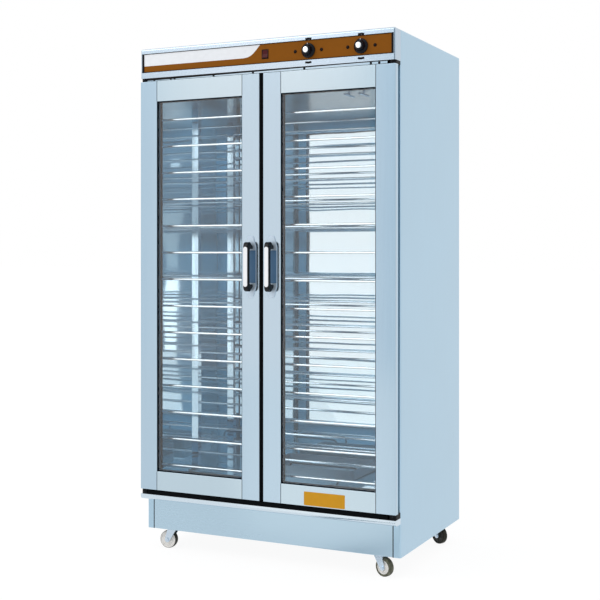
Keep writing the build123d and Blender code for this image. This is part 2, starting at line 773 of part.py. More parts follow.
def handle_body():
    """Arched pull handle: a straight grip on two feet that narrow towards their plate."""
    low, high = handle_middle - handle_length / 2, handle_middle + handle_length / 2
    base = door_face - handle_plate[2]
    front = door_face - handle_reach + strip_proud
    back = front + grip_depth
    knuckle = base - foot_reach
    with BuildSketch(Plane.YZ) as profile:
        with BuildLine():
            FilletPolyline((base, low + foot_taper), (knuckle, low), (front, low), (front, high),
                           (knuckle, high), (base, high - foot_taper),
                           radius=[foot_reach / 2, handle_bend, handle_bend, foot_reach / 2])
            Line((base, high - foot_taper), (base, high - handle_leg))
            FilletPolyline((base, high - handle_leg), (back, high - handle_leg),
                           (back, low + handle_leg), (base, low + handle_leg), radius=handle_bend / 2)
            Line((base, low + handle_leg), (base, low + foot_taper))
        make_face()
    body = extrude(profile.sketch, amount=handle_width / 2, both=True)
    rims = body.faces().filter_by(Axis.X).edges().filter_by_position(Axis.Y, front - 1, base - 1)
    return Pos(handle_centre, 0, 0) * fillet(rims, 3) - handle_strip()


def handle_base():
    """Bright base plate with tapered ends, between the door and the feet."""
    width, length, thickness = handle_plate
    taper, tip = plate_taper
    half, end = width / 2, length / 2
    right = [(tip, -end), (half, taper - end), (half, end - taper), (tip, end)]
    corners = right + [(-x, z) for x, z in reversed(right)]
    place = Plane(origin=(handle_centre, door_face, handle_middle), x_dir=(1, 0, 0), z_dir=(0, -1, 0))
    plate = extrude(place * Polygon(*corners, align=None), amount=thickness)
    plate = fillet(plate.edges().filter_by(Axis.Y), plate_rounding)
    return chamfer(plate.faces().sort_by(Axis.Y)[0].edges(), thickness / 3)


def handle_strip():
    """Bright inlay along the face of the grip."""
    length = handle_length - 2 * handle_bend
    front = door_face - handle_reach
    outline = Plane(origin=(handle_centre, front, handle_middle), x_dir=(0, 0, 1), z_dir=(0, 1, 0))
    strip = extrude(outline * SlotOverall(length, strip_width), amount=3 * strip_proud)
    return chamfer(strip.faces().sort_by(Axis.Y)[0].edges(), strip_proud / 2)


# ----------------------------------------------------------------------- casters

def caster_centres():
    """Swivel axes in the order front left, front right, rear left, rear right."""
    centres = []
    for x, setback in (front_caster, rear_caster):
        centres += [(-x, door_face + setback), (x, door_face + setback)]
    return centres


def bolt_shanks(low, high):
    """The round shanks of all the caster bolts between two levels."""
    offsets = [(dx, dy) for dx in (-bolt_half_x, bolt_half_x) for dy in (-bolt_half_y, bolt_half_y)]
    return [rod((x + dx, y + dy, low), (x + dx, y + dy, high), bolt_diameter)
            for x, y in caster_centres() for dx, dy in offsets]


def caster_plate(x, y):
    """Top plate with its swivel race and riveted kingpin."""
    under = bottom_panel_level - caster_plate_thickness
    outline = RectangleRounded(2 * bolt_half_x + 20, 2 * bolt_half_y + 18, 6)
    plate = extrude(Pos(x, y, under) * outline, amount=caster_plate_thickness)
    race_end = fork_top + fork_race + race_gap
    radius = race_diameter / 2
    race = turned([(0, 0), (radius + 2, 0), (radius, under - race_end), (0, under - race_end)],
                  (x, y, under), (0, 0, -1))
    head_level = fork_top - fork_plate - race_gap
    pin = rod((x, y, head_level), (x, y, under), kingpin_diameter)
    head = turned([(0, 0), (9, 0), (8, 3), (5, 4.4), (0, 4.4)], (x, y, head_level), (0, 0, -1))
    return plate + race + pin + head


def caster_plates():
    """The four plates and the bolts that hold them to the bottom panel."""
    under = bottom_panel_level - caster_plate_thickness
    shanks = bolt_shanks(under, bottom_panel_level + frame_sheet)
    head = extrude(RegularPolygon(0.9 * bolt_diameter, 6), amount=-0.6 * bolt_diameter)
    bolts = [shank + Pos(shank.center().X, shank.center().Y, under) * head for shank in shanks]
    return [caster_plate(x, y) - shanks for x, y in caster_centres()] + bolts


def fork_leg(inner_face):
    """One tapered leg in the plane of the wheel, from the crown to the axle."""
    axle = Pos(caster_trail, wheel_diameter / 2) * Circle(fork_ear)
    shoulder = Line((-fork_crown / 3, fork_top), (0.6 * fork_crown, fork_top))
    outline = make_hull(axle.edges() + shoulder.edges())
    return extrude(Plane(origin=(0, inner_face, 0), x_dir=(1, 0, 0), z_dir=(0, -1, 0)) * outline,
                   amount=fork_plate)


def caster_fork():
    """Pressed fork with two tapered legs, drawn with its axle trailing along +X."""
    leg_inner = wheel_width / 2 + fork_gap
    leg_outer = leg_inner + fork_plate
    axle_level = wheel_diameter / 2
    crown = Circle(fork_crown / 2) + Pos(fork_crown / 8, 0) * Rectangle(fork_crown, 2 * leg_outer)
    crown = Pos(0, 0, fork_top - fork_plate) * extrude(crown, amount=fork_plate)
    race = Pos(0, 0, fork_top) * extrude(Circle(race_diameter / 2), amount=fork_race)
    fork = crown + race + fork_leg(leg_outer) + fork_leg(-leg_inner)
    fork -= rod((0, 0, axle_level), (0, 0, 2 * fork_top), kingpin_diameter + 2 * running_clearance)
    fork -= rod((caster_trail, -leg_outer, axle_level), (caster_trail, leg_outer, axle_level), axle_diameter)
    nut = 0.5 * axle_diameter
    axle = rod((caster_trail, -leg_outer - nut, axle_level), (caster_trail, leg_outer + nut, axle_level),
               axle_diameter)
    for side in (-1, 1):
        seat = Plane(origin=(caster_trail, side * leg_outer, axle_level), z_dir=(0, side, 0))
        axle += extrude(seat * RegularPolygon(0.9 * axle_diameter, 6), amount=0.8 * nut)
    return [fork, axle]


def caster_wheel():
    """Wheel with a crowned tread, dished sides and a plain bore."""
    radius = wheel_diameter / 2
    half = wheel_width / 2
    bore = axle_diameter / 2 + running_clearance
    dish = wheel_width / 6
    outline = [(bore, -half), (0.34 * radius, -half), (0.37 * radius, dish - half),
               (0.71 * radius, dish - half), (0.77 * radius, -0.87 * half), (0.93 * radius, -0.87 * half),
               (radius, -0.42 * half)]
    outline += [(r, -along) for r, along in reversed(outline)]
    return turned(outline, (caster_trail, 0, radius), (0, 1, 0))


def build_casing():
    right = side_panel()
    for node, solid in zip(("right_side_panel", "left_side_panel"), both_sides(right)):
        save(node, solid)
    save("back_panel", back_panel())
    save("top_panel", top_panel())
    save("header_box", header_box())
    save("control_fascia", control_fascia())
    save("apron_panel", apron_panel())
    save("sill_nose", sill_nose())
    save("sill_seal", sill_seal())
    save("bottom_panel", bottom_panel())
    save("base_channels", *base_channels())


def build_chamber():
    right, back, ceiling, floor = liner_panels()
    save("liner_side_walls", *both_sides(right))
    save("liner_back_wall", back)
    save("liner_ceiling", ceiling)
    save("liner_floor", floor)
    save("wall_insulation", *foam_slabs())
    save("opening_frame", opening_frame())
    save("centre_mullion", centre_mullion())
    save("rack_uprights", *rack_uprights())
    bay = (mullion_half, liner_side)
    save("front_tray_rods", *tray_rods(front_row, [bay, (-bay[1], -bay[0])]))
    reach = liner_side - channel_width
    full = [(-reach, reach)]
    save("middle_tray_rods", *tray_rods(middle_row, full))
    save("rear_tray_rods", *tray_rods(rear_row, full))


def build_fittings():
    save("water_tray", water_tray())
    save("heating_elements", *heating_elements())
    save("switch_housing", switch_housing())
    save("power_rocker", rocker())
    lamps = [indicator_lamp(x + side * lamp_offset) for x in knob_places.values() for side in (-1, 1)]
    save("indicator_lamps", *lamps)
    save("thermostats", *[thermostat(x) for x in knob_places.values()])
    save("sensor_bulbs", *[sensor_bulb(x) for x in bulb_places])
    for name, x in knob_places.items():
        save(f"{name}_knob", *knob(x))
    save("cable_gland", cable_gland())


def build_doors():
    stiles, rails = door_frame()
    pieces = {
        "stiles": stiles,
        "rails": rails,
        "glass": [door_glass()],
        "glazing_seal": [glazing_seal()],
        "gasket": [door_gasket()],
        "meeting_seal": [meeting_seal()],
        "handle": [handle_body()],
        "handle_strip": [handle_strip(), handle_base()],
    }
    for name, solids in pieces.items():
        save(f"right_door_{name}", *solids)
        save(f"left_door_{name}", *[mirror(solid, about=Plane.YZ) for solid in solids])
    save("hinge_brackets", *hinge_brackets())
    save("hinge_rail", hinge_rail())
    save("hinge_rail_screws", *[rail_screw(x) for x in rail_screws])


def build_casters():
    fork = caster_fork()
    wheel = caster_wheel()
    for (x, y), (name, yaw) in zip(caster_centres(), caster_yaws.items()):
        place = Pos(x, y, 0) * Rot(0, 0, yaw)
        save(f"{name}_caster_fork", *[place * solid for solid in fork])
        save(f"{name}_caster_wheel", place * wheel)
    save("caster_plates", *caster_plates())


os.makedirs("parts", exist_ok=True)
build_casing()
build_chamber()
build_fittings()
build_doors()
build_casters()
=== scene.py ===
# %% [markdown]
# # Dressing a two-door proofing cabinet
# The cabinet keeps shaped dough warm and damp. The frame below is the exact model. The cells after
# it give each piece the finish of the real one, and add the small pieces that only the picture
# needs. Everything is in metres.

# %% Load the frame
import json
import math

import bmesh
import bpy
from mathutils import Matrix, Vector


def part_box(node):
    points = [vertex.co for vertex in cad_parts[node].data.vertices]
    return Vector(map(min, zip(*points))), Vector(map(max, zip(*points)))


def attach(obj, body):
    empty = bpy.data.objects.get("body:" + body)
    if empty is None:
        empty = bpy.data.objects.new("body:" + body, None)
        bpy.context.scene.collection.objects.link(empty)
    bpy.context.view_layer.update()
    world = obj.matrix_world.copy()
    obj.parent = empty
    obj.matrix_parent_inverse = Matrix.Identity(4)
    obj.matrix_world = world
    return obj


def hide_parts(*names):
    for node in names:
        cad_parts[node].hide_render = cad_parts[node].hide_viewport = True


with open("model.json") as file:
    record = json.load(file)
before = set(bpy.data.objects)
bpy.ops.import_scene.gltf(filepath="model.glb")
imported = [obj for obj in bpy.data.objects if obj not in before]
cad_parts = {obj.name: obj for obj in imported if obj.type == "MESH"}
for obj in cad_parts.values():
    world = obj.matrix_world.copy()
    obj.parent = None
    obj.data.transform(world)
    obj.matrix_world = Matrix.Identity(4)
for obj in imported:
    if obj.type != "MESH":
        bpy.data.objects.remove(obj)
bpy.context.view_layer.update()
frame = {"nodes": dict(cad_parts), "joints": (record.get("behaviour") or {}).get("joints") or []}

nodes = frame["nodes"]

# %% [markdown]
# ## The camera
# The cabinet is seen from its right, level with its handles. The camera stays
# level too, so that upright edges stay upright, and its lens is shifted down a
# little instead of being tilted, as is usual in pictures of tall furniture.

# %% Camera
def add_object(name, data):
    """A new object in the scene."""
    made = bpy.data.objects.new(name, data)
    scene.collection.objects.link(made)
    return made


scene = bpy.context.scene
eye = (1.8544, -3.8558, 1.1004)
heading = 25.783
lens_length = 68.54
lens_shift = -0.081
view = add_object("view", bpy.data.cameras.new("view"))
view.location = eye
view.rotation_euler = (math.radians(90), 0, math.radians(heading))
view.data.sensor_width = 36.0
view.data.lens = lens_length
view.data.shift_y = lens_shift
view.data.clip_end = 200
scene.camera = view
scene.view_settings.view_transform = "Standard"
print("camera at", eye)

# %% [markdown]
# ## A white studio
# Polished steel is mostly the room that it reflects. A white room with one dark
# side gives the pale sheets and the deep greys behind the glass. Its parts are
# made from shader nodes, so a few small helpers come first.

# %% Node helpers
def new_tree(owner):
    """Turn nodes on for a material or world and return an emptied tree."""
    owner.use_nodes = True
    owner.node_tree.nodes.clear()
    return owner.node_tree


def join(tree, start, end):
    """Connect one socket to another."""
    tree.links.new(start, end)


def add_node(tree, kind, values, group=None):
    """A new node, or a shared group, with some inputs set."""
    node = tree.nodes.new(kind)
    if group:
        node.node_tree = group
    for label, value in values.items():
        node.inputs[label].default_value = value
    return node


def calculate(tree, operation, first, second, clamp=False):
    """A Math node. Each of its two inputs is a number or a socket."""
    node = tree.nodes.new("ShaderNodeMath")
    node.operation = operation
    node.use_clamp = clamp
    for socket, value in zip(node.inputs, (first, second)):
        if isinstance(value, (int, float)):
            socket.default_value = value
        else:
            join(tree, value, socket)
    return node.outputs["Value"]


print("node helpers ready")

# %% [markdown]
# Floor and cards are single flat faces. Blender's own plane is always square, so
# a face from four given corners is more useful here.

# %% Flat pieces
def rectangle(name, corners):
    """A flat piece with one face."""
    mesh = bpy.data.meshes.new(name)
    mesh.from_pydata(corners, [], [tuple(range(len(corners)))])
    return add_object(name, mesh)


print("flat pieces ready")

# %% [markdown]
# A renderer follows each ray and knows what kind it is. A Light Path node gives
# that to a material, so a thing may look bright and still light little. The next
# helpers find the rays that look at a thing, set two levels and blend two shaders.

# %% Ray helpers
def rays_that_look(tree):
    """A socket that is 1 for camera, glossy and transmission rays, and 0 for others."""
    path = tree.nodes.new("ShaderNodeLightPath")
    total = path.outputs["Is Camera Ray"]
    for ray in ("Is Glossy Ray", "Is Transmission Ray"):
        total = calculate(tree, "ADD", total, path.outputs[ray], clamp=True)
    return total


def stretch_range(tree, value, low, high):
    """Turn a value of 0 to 1 into one between two others."""
    level = add_node(tree, "ShaderNodeMapRange", {"To Min": low, "To Max": high})
    join(tree, value, level.inputs["Value"])
    return level.outputs["Result"]


def show_blend(tree, factor, first, second):
    """Blend two shaders by a number or a socket, as the material's surface."""
    blend = tree.nodes.new("ShaderNodeMixShader")
    if isinstance(factor, float):
        blend.inputs["Fac"].default_value = factor
    else:
        join(tree, factor, blend.inputs["Fac"])
    join(tree, first, blend.inputs[1])
    join(tree, second, blend.inputs[2])
    surface = tree.nodes.new("ShaderNodeOutputMaterial")
    join(tree, blend.outputs["Shader"], surface.inputs["Surface"])


print("ray helpers ready")

# %% [markdown]
# The floor is partly lit from itself, so it stays white and still keeps a soft
# shadow. Only rays that look at it see that glow, so it doesn't light the
# cabinet from below.

# %% Floor
floor_reach = 60.0
floor_glow = 0.86
floor_white = 1.06
floor_albedo = 0.90
floor_material = bpy.data.materials.new("studio_floor")
tree = new_tree(floor_material)
paint = add_node(tree, "ShaderNodeBsdfDiffuse", {
    "Color": (floor_albedo, floor_albedo, floor_albedo, 1)})
glow = add_node(tree, "ShaderNodeEmission", {"Color": (1, 1, 1, 1), "Strength": floor_white})
show_blend(tree, stretch_range(tree, rays_that_look(tree), 0.0, floor_glow),
           paint.outputs["BSDF"], glow.outputs["Emission"])
corner_signs = ((-1, -1), (1, -1), (1, 1), (-1, 1))
floor = rectangle("studio_floor", [(x * floor_reach, y * floor_reach, 0) for x, y in corner_signs])
floor.data.materials.append(floor_material)
print("floor is", 2 * floor_reach, "m wide")

# %% [markdown]
# The room is a plain white sky, since a picture of a real room would bring its
# own reflections. It lights a little less than it shows, so pale sheets keep
# their shading in front of a white background.

# %% World
room_light = 0.80
world = bpy.data.worlds.new("white_room")
scene.world = world
tree = new_tree(world)
sky = add_node(tree, "ShaderNodeBackground", {"Color": (1, 1, 1, 1)})
join(tree, stretch_range(tree, rays_that_look(tree), room_light, 1.0), sky.inputs["Strength"])
surface = tree.nodes.new("ShaderNodeOutputWorld")
join(tree, sky.outputs["Background"], surface.inputs["Surface"])
print("room level", room_light)

# %% [markdown]
# The side of a studio behind the camera is usually dark, with a bright soft box
# and a window or two. Glowing cards stand in for them, and two long sheets lie on
# the floor. A card counts how often a ray was reflected, so it shows in steel and
# in the lining, and stays clear where one looks straight through a pane.

# %% Reflected card functions
def reflected(name, corners, colour, strength):
    """A glowing rectangle that only reflections see."""
    piece = rectangle(name, corners)
    cover = bpy.data.materials.new(name)
    tree = new_tree(cover)
    light = add_node(tree, "ShaderNodeEmission", {"Color": (*colour, 1), "Strength": strength})
    path = tree.nodes.new("ShaderNodeLightPath")
    reflections = calculate(tree, "MINIMUM", path.outputs["Glossy Depth"], 1.0)
    unseen = tree.nodes.new("ShaderNodeBsdfTransparent")
    show_blend(tree, reflections, unseen.outputs["BSDF"], light.outputs["Emission"])
    piece.data.materials.append(cover)
    piece.visible_camera = False
    piece.visible_diffuse = False
    piece.visible_shadow = False


def card(name, centre, facing, width, height, colour, strength):
    """An upright card that faces one way."""
    across = Vector((-facing[1], facing[0], 0)).normalized() * width / 2
    up = Vector((0, 0, height / 2))
    middle = Vector(centre)
    corners = [middle + x * across + z * up for x, z in corner_signs]
    reflected(name, corners, colour, strength)


print("card functions ready")

# %% [markdown]
# Each row is one card: name, centre, facing, width, height, colour and strength.
# Their places were found by following mirror paths from the camera through each
# pane, off the back wall and out again.

# %% Reflected cards
ahead = (0.0, 1.0)
cards = [
    ("dark_side", (3.2, -6.4, 2.0), (-0.45, 0.89), 5.0, 4.6, (0.40, 0.72, 1.0), 0.20),
    ("window_low", (3.76, -5.9, 0.43), ahead, 0.25, 0.84, (1.0, 0.97, 0.95), 2.0),
    ("window_middle", (3.76, -5.9, 1.24), ahead, 0.25, 0.70, (0.80, 0.92, 1.0), 0.52),
    ("window_high", (3.70, -5.9, 2.08), ahead, 0.16, 0.11, (0.90, 0.96, 1.0), 1.0),
    ("upright_low", (3.05, -5.9, 0.62), ahead, 0.18, 1.24, (1.0, 0.97, 0.95), 1.9),
    ("upright_middle", (3.05, -5.9, 1.60), ahead, 0.18, 0.50, (0.85, 0.94, 1.0), 0.75),
    ("upright_high", (3.05, -5.9, 2.10), ahead, 0.18, 0.40, (1.0, 0.97, 0.95), 1.7),
    ("box_left", (-4.8, -6.2, 1.9), ahead, 1.2, 3.8, (0.88, 0.96, 1.0), 1.01),
    ("box_middle", (-3.1, -6.2, 1.9), ahead, 2.2, 3.8, (1.0, 0.925, 0.89), 1.28),
    ("box_right", (-1.4, -6.2, 1.9), ahead, 1.2, 3.8, (0.84, 0.94, 1.0), 0.98),
]
for values in cards:
    card(*values)
sheen_outline = [(-0.28, -0.68), (0.36, -0.68), (-1.75, -6.18), (-3.29, -6.18)]
aisle_outline = [(0.10, -0.33), (0.19, -0.33), (3.63, -5.88), (3.50, -5.88)]
reflected("floor_sheen", [(x, y, 0.003) for x, y in sheen_outline], (1.0, 0.98, 0.96), 1.20)
reflected("dark_aisle", [(x, y, 0.002) for x, y in aisle_outline], (0.34, 0.70, 1.0), 0.28)
print("upright cards:", len(cards))

# %% [markdown]
# One large soft lamp from the upper left gives the shadow under the cabinet and
# shapes its edges. A sun would cut a hard shadow, and an area lamp gives a soft
# one. The white room does the rest.

# %% Key light
def area_lamp(name, width, depth, energy, location):
    """A soft rectangular lamp that shines straight down."""
    lamp = add_object(name, bpy.data.lights.new(name, "AREA"))
    lamp.data.shape = "RECTANGLE"
    lamp.data.size, lamp.data.size_y = width, depth
    lamp.data.energy = energy
    lamp.location = location
    return lamp


key_size, key_energy = 3.0, 60
key_aim = Vector((0, 0, 0.9))
key = area_lamp("key", key_size, key_size, key_energy, (-2.6, -4.2, 4.4))
key.rotation_euler = (key_aim - key.location).to_track_quat("-Z", "Y").to_euler()
print("key light", key.data.energy, "W")

# %% [markdown]
# The real chamber is lit by light that bounces between its polished walls more
# often than a renderer follows. Three cold lamps inside make up for what is
# lost. They light the walls, and no ray sees the lamps themselves.

# %% Chamber lamps
chamber_light = (0.34, 0.74, 1.0)
lamp_width, lamp_depth = 0.8, 0.25
for name, height, energy in (("lamp_high", 1.69, 3.0), ("lamp_middle", 1.15, 1.6),
                             ("lamp_low", 0.62, 1.2)):
    lamp = area_lamp(name, lamp_width, lamp_depth, energy, (0, 0.02, height))
    lamp.data.color = chamber_light
    lamp.visible_camera = False
    lamp.visible_glossy = False
    lamp.visible_transmission = False
print("three chamber lamps")

# %% [markdown]
# ## Shared shader groups
# Sheet metal from a mill has a fine grain in the rolling direction and slow changes of tone. One
# node group makes both, and each steel picks its own values. A second group finds the outer edges,
# where a painted highlight is laid on.

# %% Group helpers
def new_group(name, inputs, outputs):
    """An empty node group with its two end nodes."""
    group = bpy.data.node_groups.new(name, "ShaderNodeTree")
    for label, kind, value in inputs:
        socket = group.interface.new_socket(label, in_out="INPUT", socket_type=kind)
        socket.default_value = value
    for label, kind in outputs:
        group.interface.new_socket(label, in_out="OUTPUT", socket_type=kind)
    return group, group.nodes.new("NodeGroupInput"), group.nodes.new("NodeGroupOutput")


def use_group(tree, group, values):
    """A group node with some of its inputs set."""
    return add_node(tree, "ShaderNodeGroup", values, group)


print("group helpers ready")

# %% [markdown]
# The sheet finish stretches a fine noise along the rolling direction and adds a
# slow cloud to it. Together they change tone and roughness a little, so that no
# sheet is one even colour.

# %% Sheet finish group
sheet_finish, given, result = new_group(
    "sheet_finish",
    [("Stretch", "NodeSocketVector", (300, 300, 6)),
     ("Colour", "NodeSocketColor", (0.6, 0.7, 0.8, 1)),
     ("Tone Spread", "NodeSocketFloat", 0.05), ("Roughness", "NodeSocketFloat", 0.25),
     ("Roughness Spread", "NodeSocketFloat", 0.06)],
    [("Colour", "NodeSocketColor"), ("Roughness", "NodeSocketFloat"),
     ("Height", "NodeSocketFloat")])
tree = sheet_finish
place = tree.nodes.new("ShaderNodeTexCoord")
stretch = tree.nodes.new("ShaderNodeVectorMath")
stretch.operation = "MULTIPLY"
join(tree, place.outputs["Object"], stretch.inputs[0])
join(tree, given.outputs["Stretch"], stretch.inputs[1])
grain = add_node(tree, "ShaderNodeTexNoise", {"Scale": 1.0, "Detail": 3.0})
join(tree, stretch.outputs["Vector"], grain.inputs["Vector"])
cloud = add_node(tree, "ShaderNodeTexNoise", {"Scale": 2.3, "Detail": 2.0})
join(tree, place.outputs["Object"], cloud.inputs["Vector"])
grain_offset = calculate(tree, "SUBTRACT", grain.outputs["Fac"], 0.5)
cloud_offset = calculate(tree, "SUBTRACT", cloud.outputs["Fac"], 0.5)
both = calculate(tree, "ADD", grain_offset, cloud_offset)
tone = calculate(tree, "MULTIPLY", both, given.outputs["Tone Spread"])
lift = calculate(tree, "ADD", tone, 1.0)
shade = tree.nodes.new("ShaderNodeHueSaturation")
join(tree, given.outputs["Colour"], shade.inputs["Color"])
join(tree, lift, shade.inputs["Value"])
join(tree, shade.outputs["Color"], result.inputs["Colour"])
rough = calculate(tree, "MULTIPLY", both, given.outputs["Roughness Spread"])
join(tree, calculate(tree, "ADD", rough, given.outputs["Roughness"], clamp=True),
     result.inputs["Roughness"])
join(tree, grain.outputs["Fac"], result.inputs["Height"])
print("group", sheet_finish.name)

# %% [markdown]
# The edges of a sheet get a painted highlight, a paler colour laid over them. That could be painted
# on by hand, but a node finds every edge by itself: a Bevel node rounds the normal near an edge,
# and where the rounded one differs from the true one the mask is bright.

# %% Painted edge highlight group
edge_gain = 6.0
painted_edge_highlight, given, result = new_group(
    "painted_edge_highlight", [("Width", "NodeSocketFloat", 0.002), ("Strength", "NodeSocketFloat", 1.0)],
    [("Mask", "NodeSocketFloat")])
tree = painted_edge_highlight
softened = tree.nodes.new("ShaderNodeBevel")
softened.samples = 4
join(tree, given.outputs["Width"], softened.inputs["Radius"])
true_side = tree.nodes.new("ShaderNodeNewGeometry")
turn = tree.nodes.new("ShaderNodeVectorMath")
turn.operation = "DOT_PRODUCT"
join(tree, softened.outputs["Normal"], turn.inputs[0])
join(tree, true_side.outputs["Normal"], turn.inputs[1])
bent = calculate(tree, "SUBTRACT", 1.0, turn.outputs["Value"])
near_edge = calculate(tree, "MULTIPLY", bent, edge_gain, clamp=True)
join(tree, calculate(tree, "MULTIPLY", near_edge, given.outputs["Strength"]),
     result.inputs["Mask"])
print("group", painted_edge_highlight.name)

# %% [markdown]
# Dust lies in patches. A noise with much detail, cut off below a level, makes
# them, and the same noise gives moulded plastic its faint unevenness.

# %% Dust group
settled_dust, given, result = new_group(
    "settled_dust", [("Scale", "NodeSocketFloat", 30.0), ("Amount", "NodeSocketFloat", 0.3)],
    [("Mask", "NodeSocketFloat"), ("Height", "NodeSocketFloat")])
tree = settled_dust
place = tree.nodes.new("ShaderNodeTexCoord")
speckle = add_node(tree, "ShaderNodeTexNoise", {"Detail": 6.0, "Roughness": 0.65})
join(tree, place.outputs["Object"], speckle.inputs["Vector"])
join(tree, given.outputs["Scale"], speckle.inputs["Scale"])
dust_starts, dust_full = 0.42, 0.72
ramp = add_node(tree, "ShaderNodeMapRange", {"From Min": dust_starts, "From Max": dust_full})
join(tree, speckle.outputs["Fac"], ramp.inputs["Value"])
amount = calculate(tree, "MULTIPLY", ramp.outputs["Result"], given.outputs["Amount"])
join(tree, amount, result.inputs["Mask"])
join(tree, speckle.outputs["Fac"], result.inputs["Height"])
print("group", settled_dust.name)

# %% [markdown]
# ## The steels
# The cabinet has several steels: satin doors and casing, a paler header, a
# mirror-polished lining, bright rods and zinc-plated caster forks. They differ
# in colour, roughness and grain, so one function makes them all. The helpers for
# it come first, and the other finishes use them too.

# %% Shader helpers
def principled(name, values):
    """A material with one Principled BSDF, and that node."""
    made = bpy.data.materials.new(name)
    tree = new_tree(made)
    shader = add_node(tree, "ShaderNodeBsdfPrincipled", values)
    surface = tree.nodes.new("ShaderNodeOutputMaterial")
    join(tree, shader.outputs["BSDF"], surface.inputs["Surface"])
    return made, tree, shader


def add_bump(tree, shader, height, strength, distance):
    """Feed a height through a Bump node into the shader."""
    bump = add_node(tree, "ShaderNodeBump", {"Strength": strength, "Distance": distance})
    join(tree, height, bump.inputs["Height"])
    join(tree, bump.outputs["Normal"], shader.inputs["Normal"])


def colour_over(tree, shader, factor, below, above):
    """Lay one colour over the finish where the factor is high."""
    mix = tree.nodes.new("ShaderNodeMix")
    mix.data_type = "RGBA"
    join(tree, factor, mix.inputs["Factor"])
    join(tree, below, mix.inputs["A"])
    mix.inputs["B"].default_value = (*above, 1)
    join(tree, mix.outputs["Result"], shader.inputs["Base Color"])


def finished_shader(tree, colour, metallic, values):
    """A Principled BSDF with the colour and roughness of the sheet finish."""
    shader = add_node(tree, "ShaderNodeBsdfPrincipled", {"Metallic": metallic})
    finish = use_group(tree, sheet_finish, {"Colour": (*colour, 1), **values})
    join(tree, finish.outputs["Colour"], shader.inputs["Base Color"])
    join(tree, finish.outputs["Roughness"], shader.inputs["Roughness"])
    return shader


print("shader helpers ready")

# %% [markdown]
# A steel is fully metallic, so its colour is the colour of its reflections. The grain goes into the
# bump as well as into the tone, and a painted highlight on the edges is laid over the colour last.

# %% Steel function
bump_depth = 0.0004
# Painted highlight: the pale colour laid over the edges of every steel.
painted_highlight_colour = (0.93, 0.97, 1.0)


def steel(name, colour, roughness, stretch, tone=0.05, edge=0.25, relief=0.04, metallic=1.0):
    """A sheet steel with grain, slow tone changes and a painted highlight on its edges."""
    made, tree, shader = principled(name, {"Metallic": metallic})
    finish = use_group(tree, sheet_finish, {
        "Stretch": stretch, "Colour": (*colour, 1), "Tone Spread": tone, "Roughness": roughness})
    catch = use_group(tree, painted_edge_highlight, {"Strength": edge})
    # Painted highlight: the pale colour goes where the edge mask is high.
    colour_over(tree, shader, catch.outputs["Mask"], finish.outputs["Colour"], painted_highlight_colour)
    join(tree, finish.outputs["Roughness"], shader.inputs["Roughness"])
    add_bump(tree, shader, finish.outputs["Height"], relief, bump_depth)
    return made


print("steel function ready")

# %% [markdown]
# Each row names a steel, its colour, its roughness and the way its grain runs.
# The rods in front are a little hazy, and those behind them are plain metal, painted darker as
# painted shade.

# %% Steels
upright_grain, cross_grain = (300, 300, 6), (6, 300, 300)
even_grain, fine_grain = (90, 90, 90), (120, 120, 120)
finishes = {}
for name, colour, roughness, grain, values in (
        ("stile_steel", (0.44, 0.57, 0.68), 0.16, upright_grain, {"relief": 0.02}),
        ("casing_steel", (0.43, 0.60, 0.73), 0.30, upright_grain, {"tone": 0.10, "relief": 0.02}),
        ("apron_steel", (0.45, 0.60, 0.71), 0.28, cross_grain, {"tone": 0.03, "relief": 0.01}),
        ("header_steel", (0.47, 0.57, 0.67), 0.22, cross_grain, {}),
        ("sill_steel", (0.62, 0.72, 0.80), 0.22, cross_grain, {}),
        ("base_steel", (0.36, 0.38, 0.40), 0.45, cross_grain, {"tone": 0.2}),
        ("rod_steel", (0.92, 0.96, 1.0), 0.14, cross_grain, {"edge": 0, "metallic": 0.86}),
        # Painted shade: the middle and rear rods are the same steel drawn darker.
        ("rod_steel_deep", (0.70, 0.79, 0.86), 0.14, cross_grain, {"edge": 0}),
        ("upright_steel", (0.70, 0.80, 0.87), 0.06, upright_grain, {"relief": 0.01}),
        ("tray_steel", (0.24, 0.34, 0.42), 0.40, even_grain, {"metallic": 0.7, "edge": 0.1}),
        ("element_steel", (0.10, 0.15, 0.19), 0.40, even_grain, {"tone": 0.4}),
        ("zinc", (0.56, 0.66, 0.76), 0.26, fine_grain, {"tone": 0.2, "edge": 0.2})):
    finishes[name] = steel(name, colour, roughness, grain, **values)
print("steels:", len(finishes))

# %% [markdown]
# The lining is nearly a mirror, slightly buckled, with a thin cold haze over it. A
# rougher mirror would blur what it shows, so a sharp one is blended with a little
# of a dull shader instead. The ceiling is duller than the walls.

# %% Lining
haze_colour, haze_roughness = (0.40, 0.80, 1.0), 0.6
lining_tint = (0.90, 1.0, 1.06)
buckle_scale = 3.0


def lining_sheet(name, shine, roughness, haze):
    """Polished lining with a thin cold haze and a slow buckle."""
    made = bpy.data.materials.new(name)
    tree = new_tree(made)
    place = tree.nodes.new("ShaderNodeTexCoord")
    buckle = add_node(tree, "ShaderNodeTexNoise", {"Scale": buckle_scale, "Detail": 1.0})
    join(tree, place.outputs["Object"], buckle.inputs["Vector"])
    mirror_colour = [shine * share for share in lining_tint]
    ends = []
    for colour, metallic, rough in ((mirror_colour, 1.0, roughness),
                                    (haze_colour, 0.0, haze_roughness)):
        shader = finished_shader(tree, colour, metallic, {
            "Stretch": (0.9, 0.9, 0.9), "Roughness": rough, "Roughness Spread": 0.03})
        add_bump(tree, shader, buckle.outputs["Fac"], 0.06, 0.02)
        ends.append(shader.outputs["BSDF"])
    show_blend(tree, haze, *ends)
    return made


lining = lining_sheet("lining_mirror", 0.90, 0.03, 0.12)
ceiling_sheet = lining_sheet("ceiling_sheet", 0.36, 0.22, 0.27)
print("lining sheets: 2")

# %% [markdown]
# ## Glass, rubber and moulded plastic
# The door glass is clear with a faint cold tint. A plain transparent sheet would
# have no reflections, so it is a Principled shader with full transmission. A
# Light Path node lets shadow rays pass straight through, so the chamber behind is
# lit as it would be.

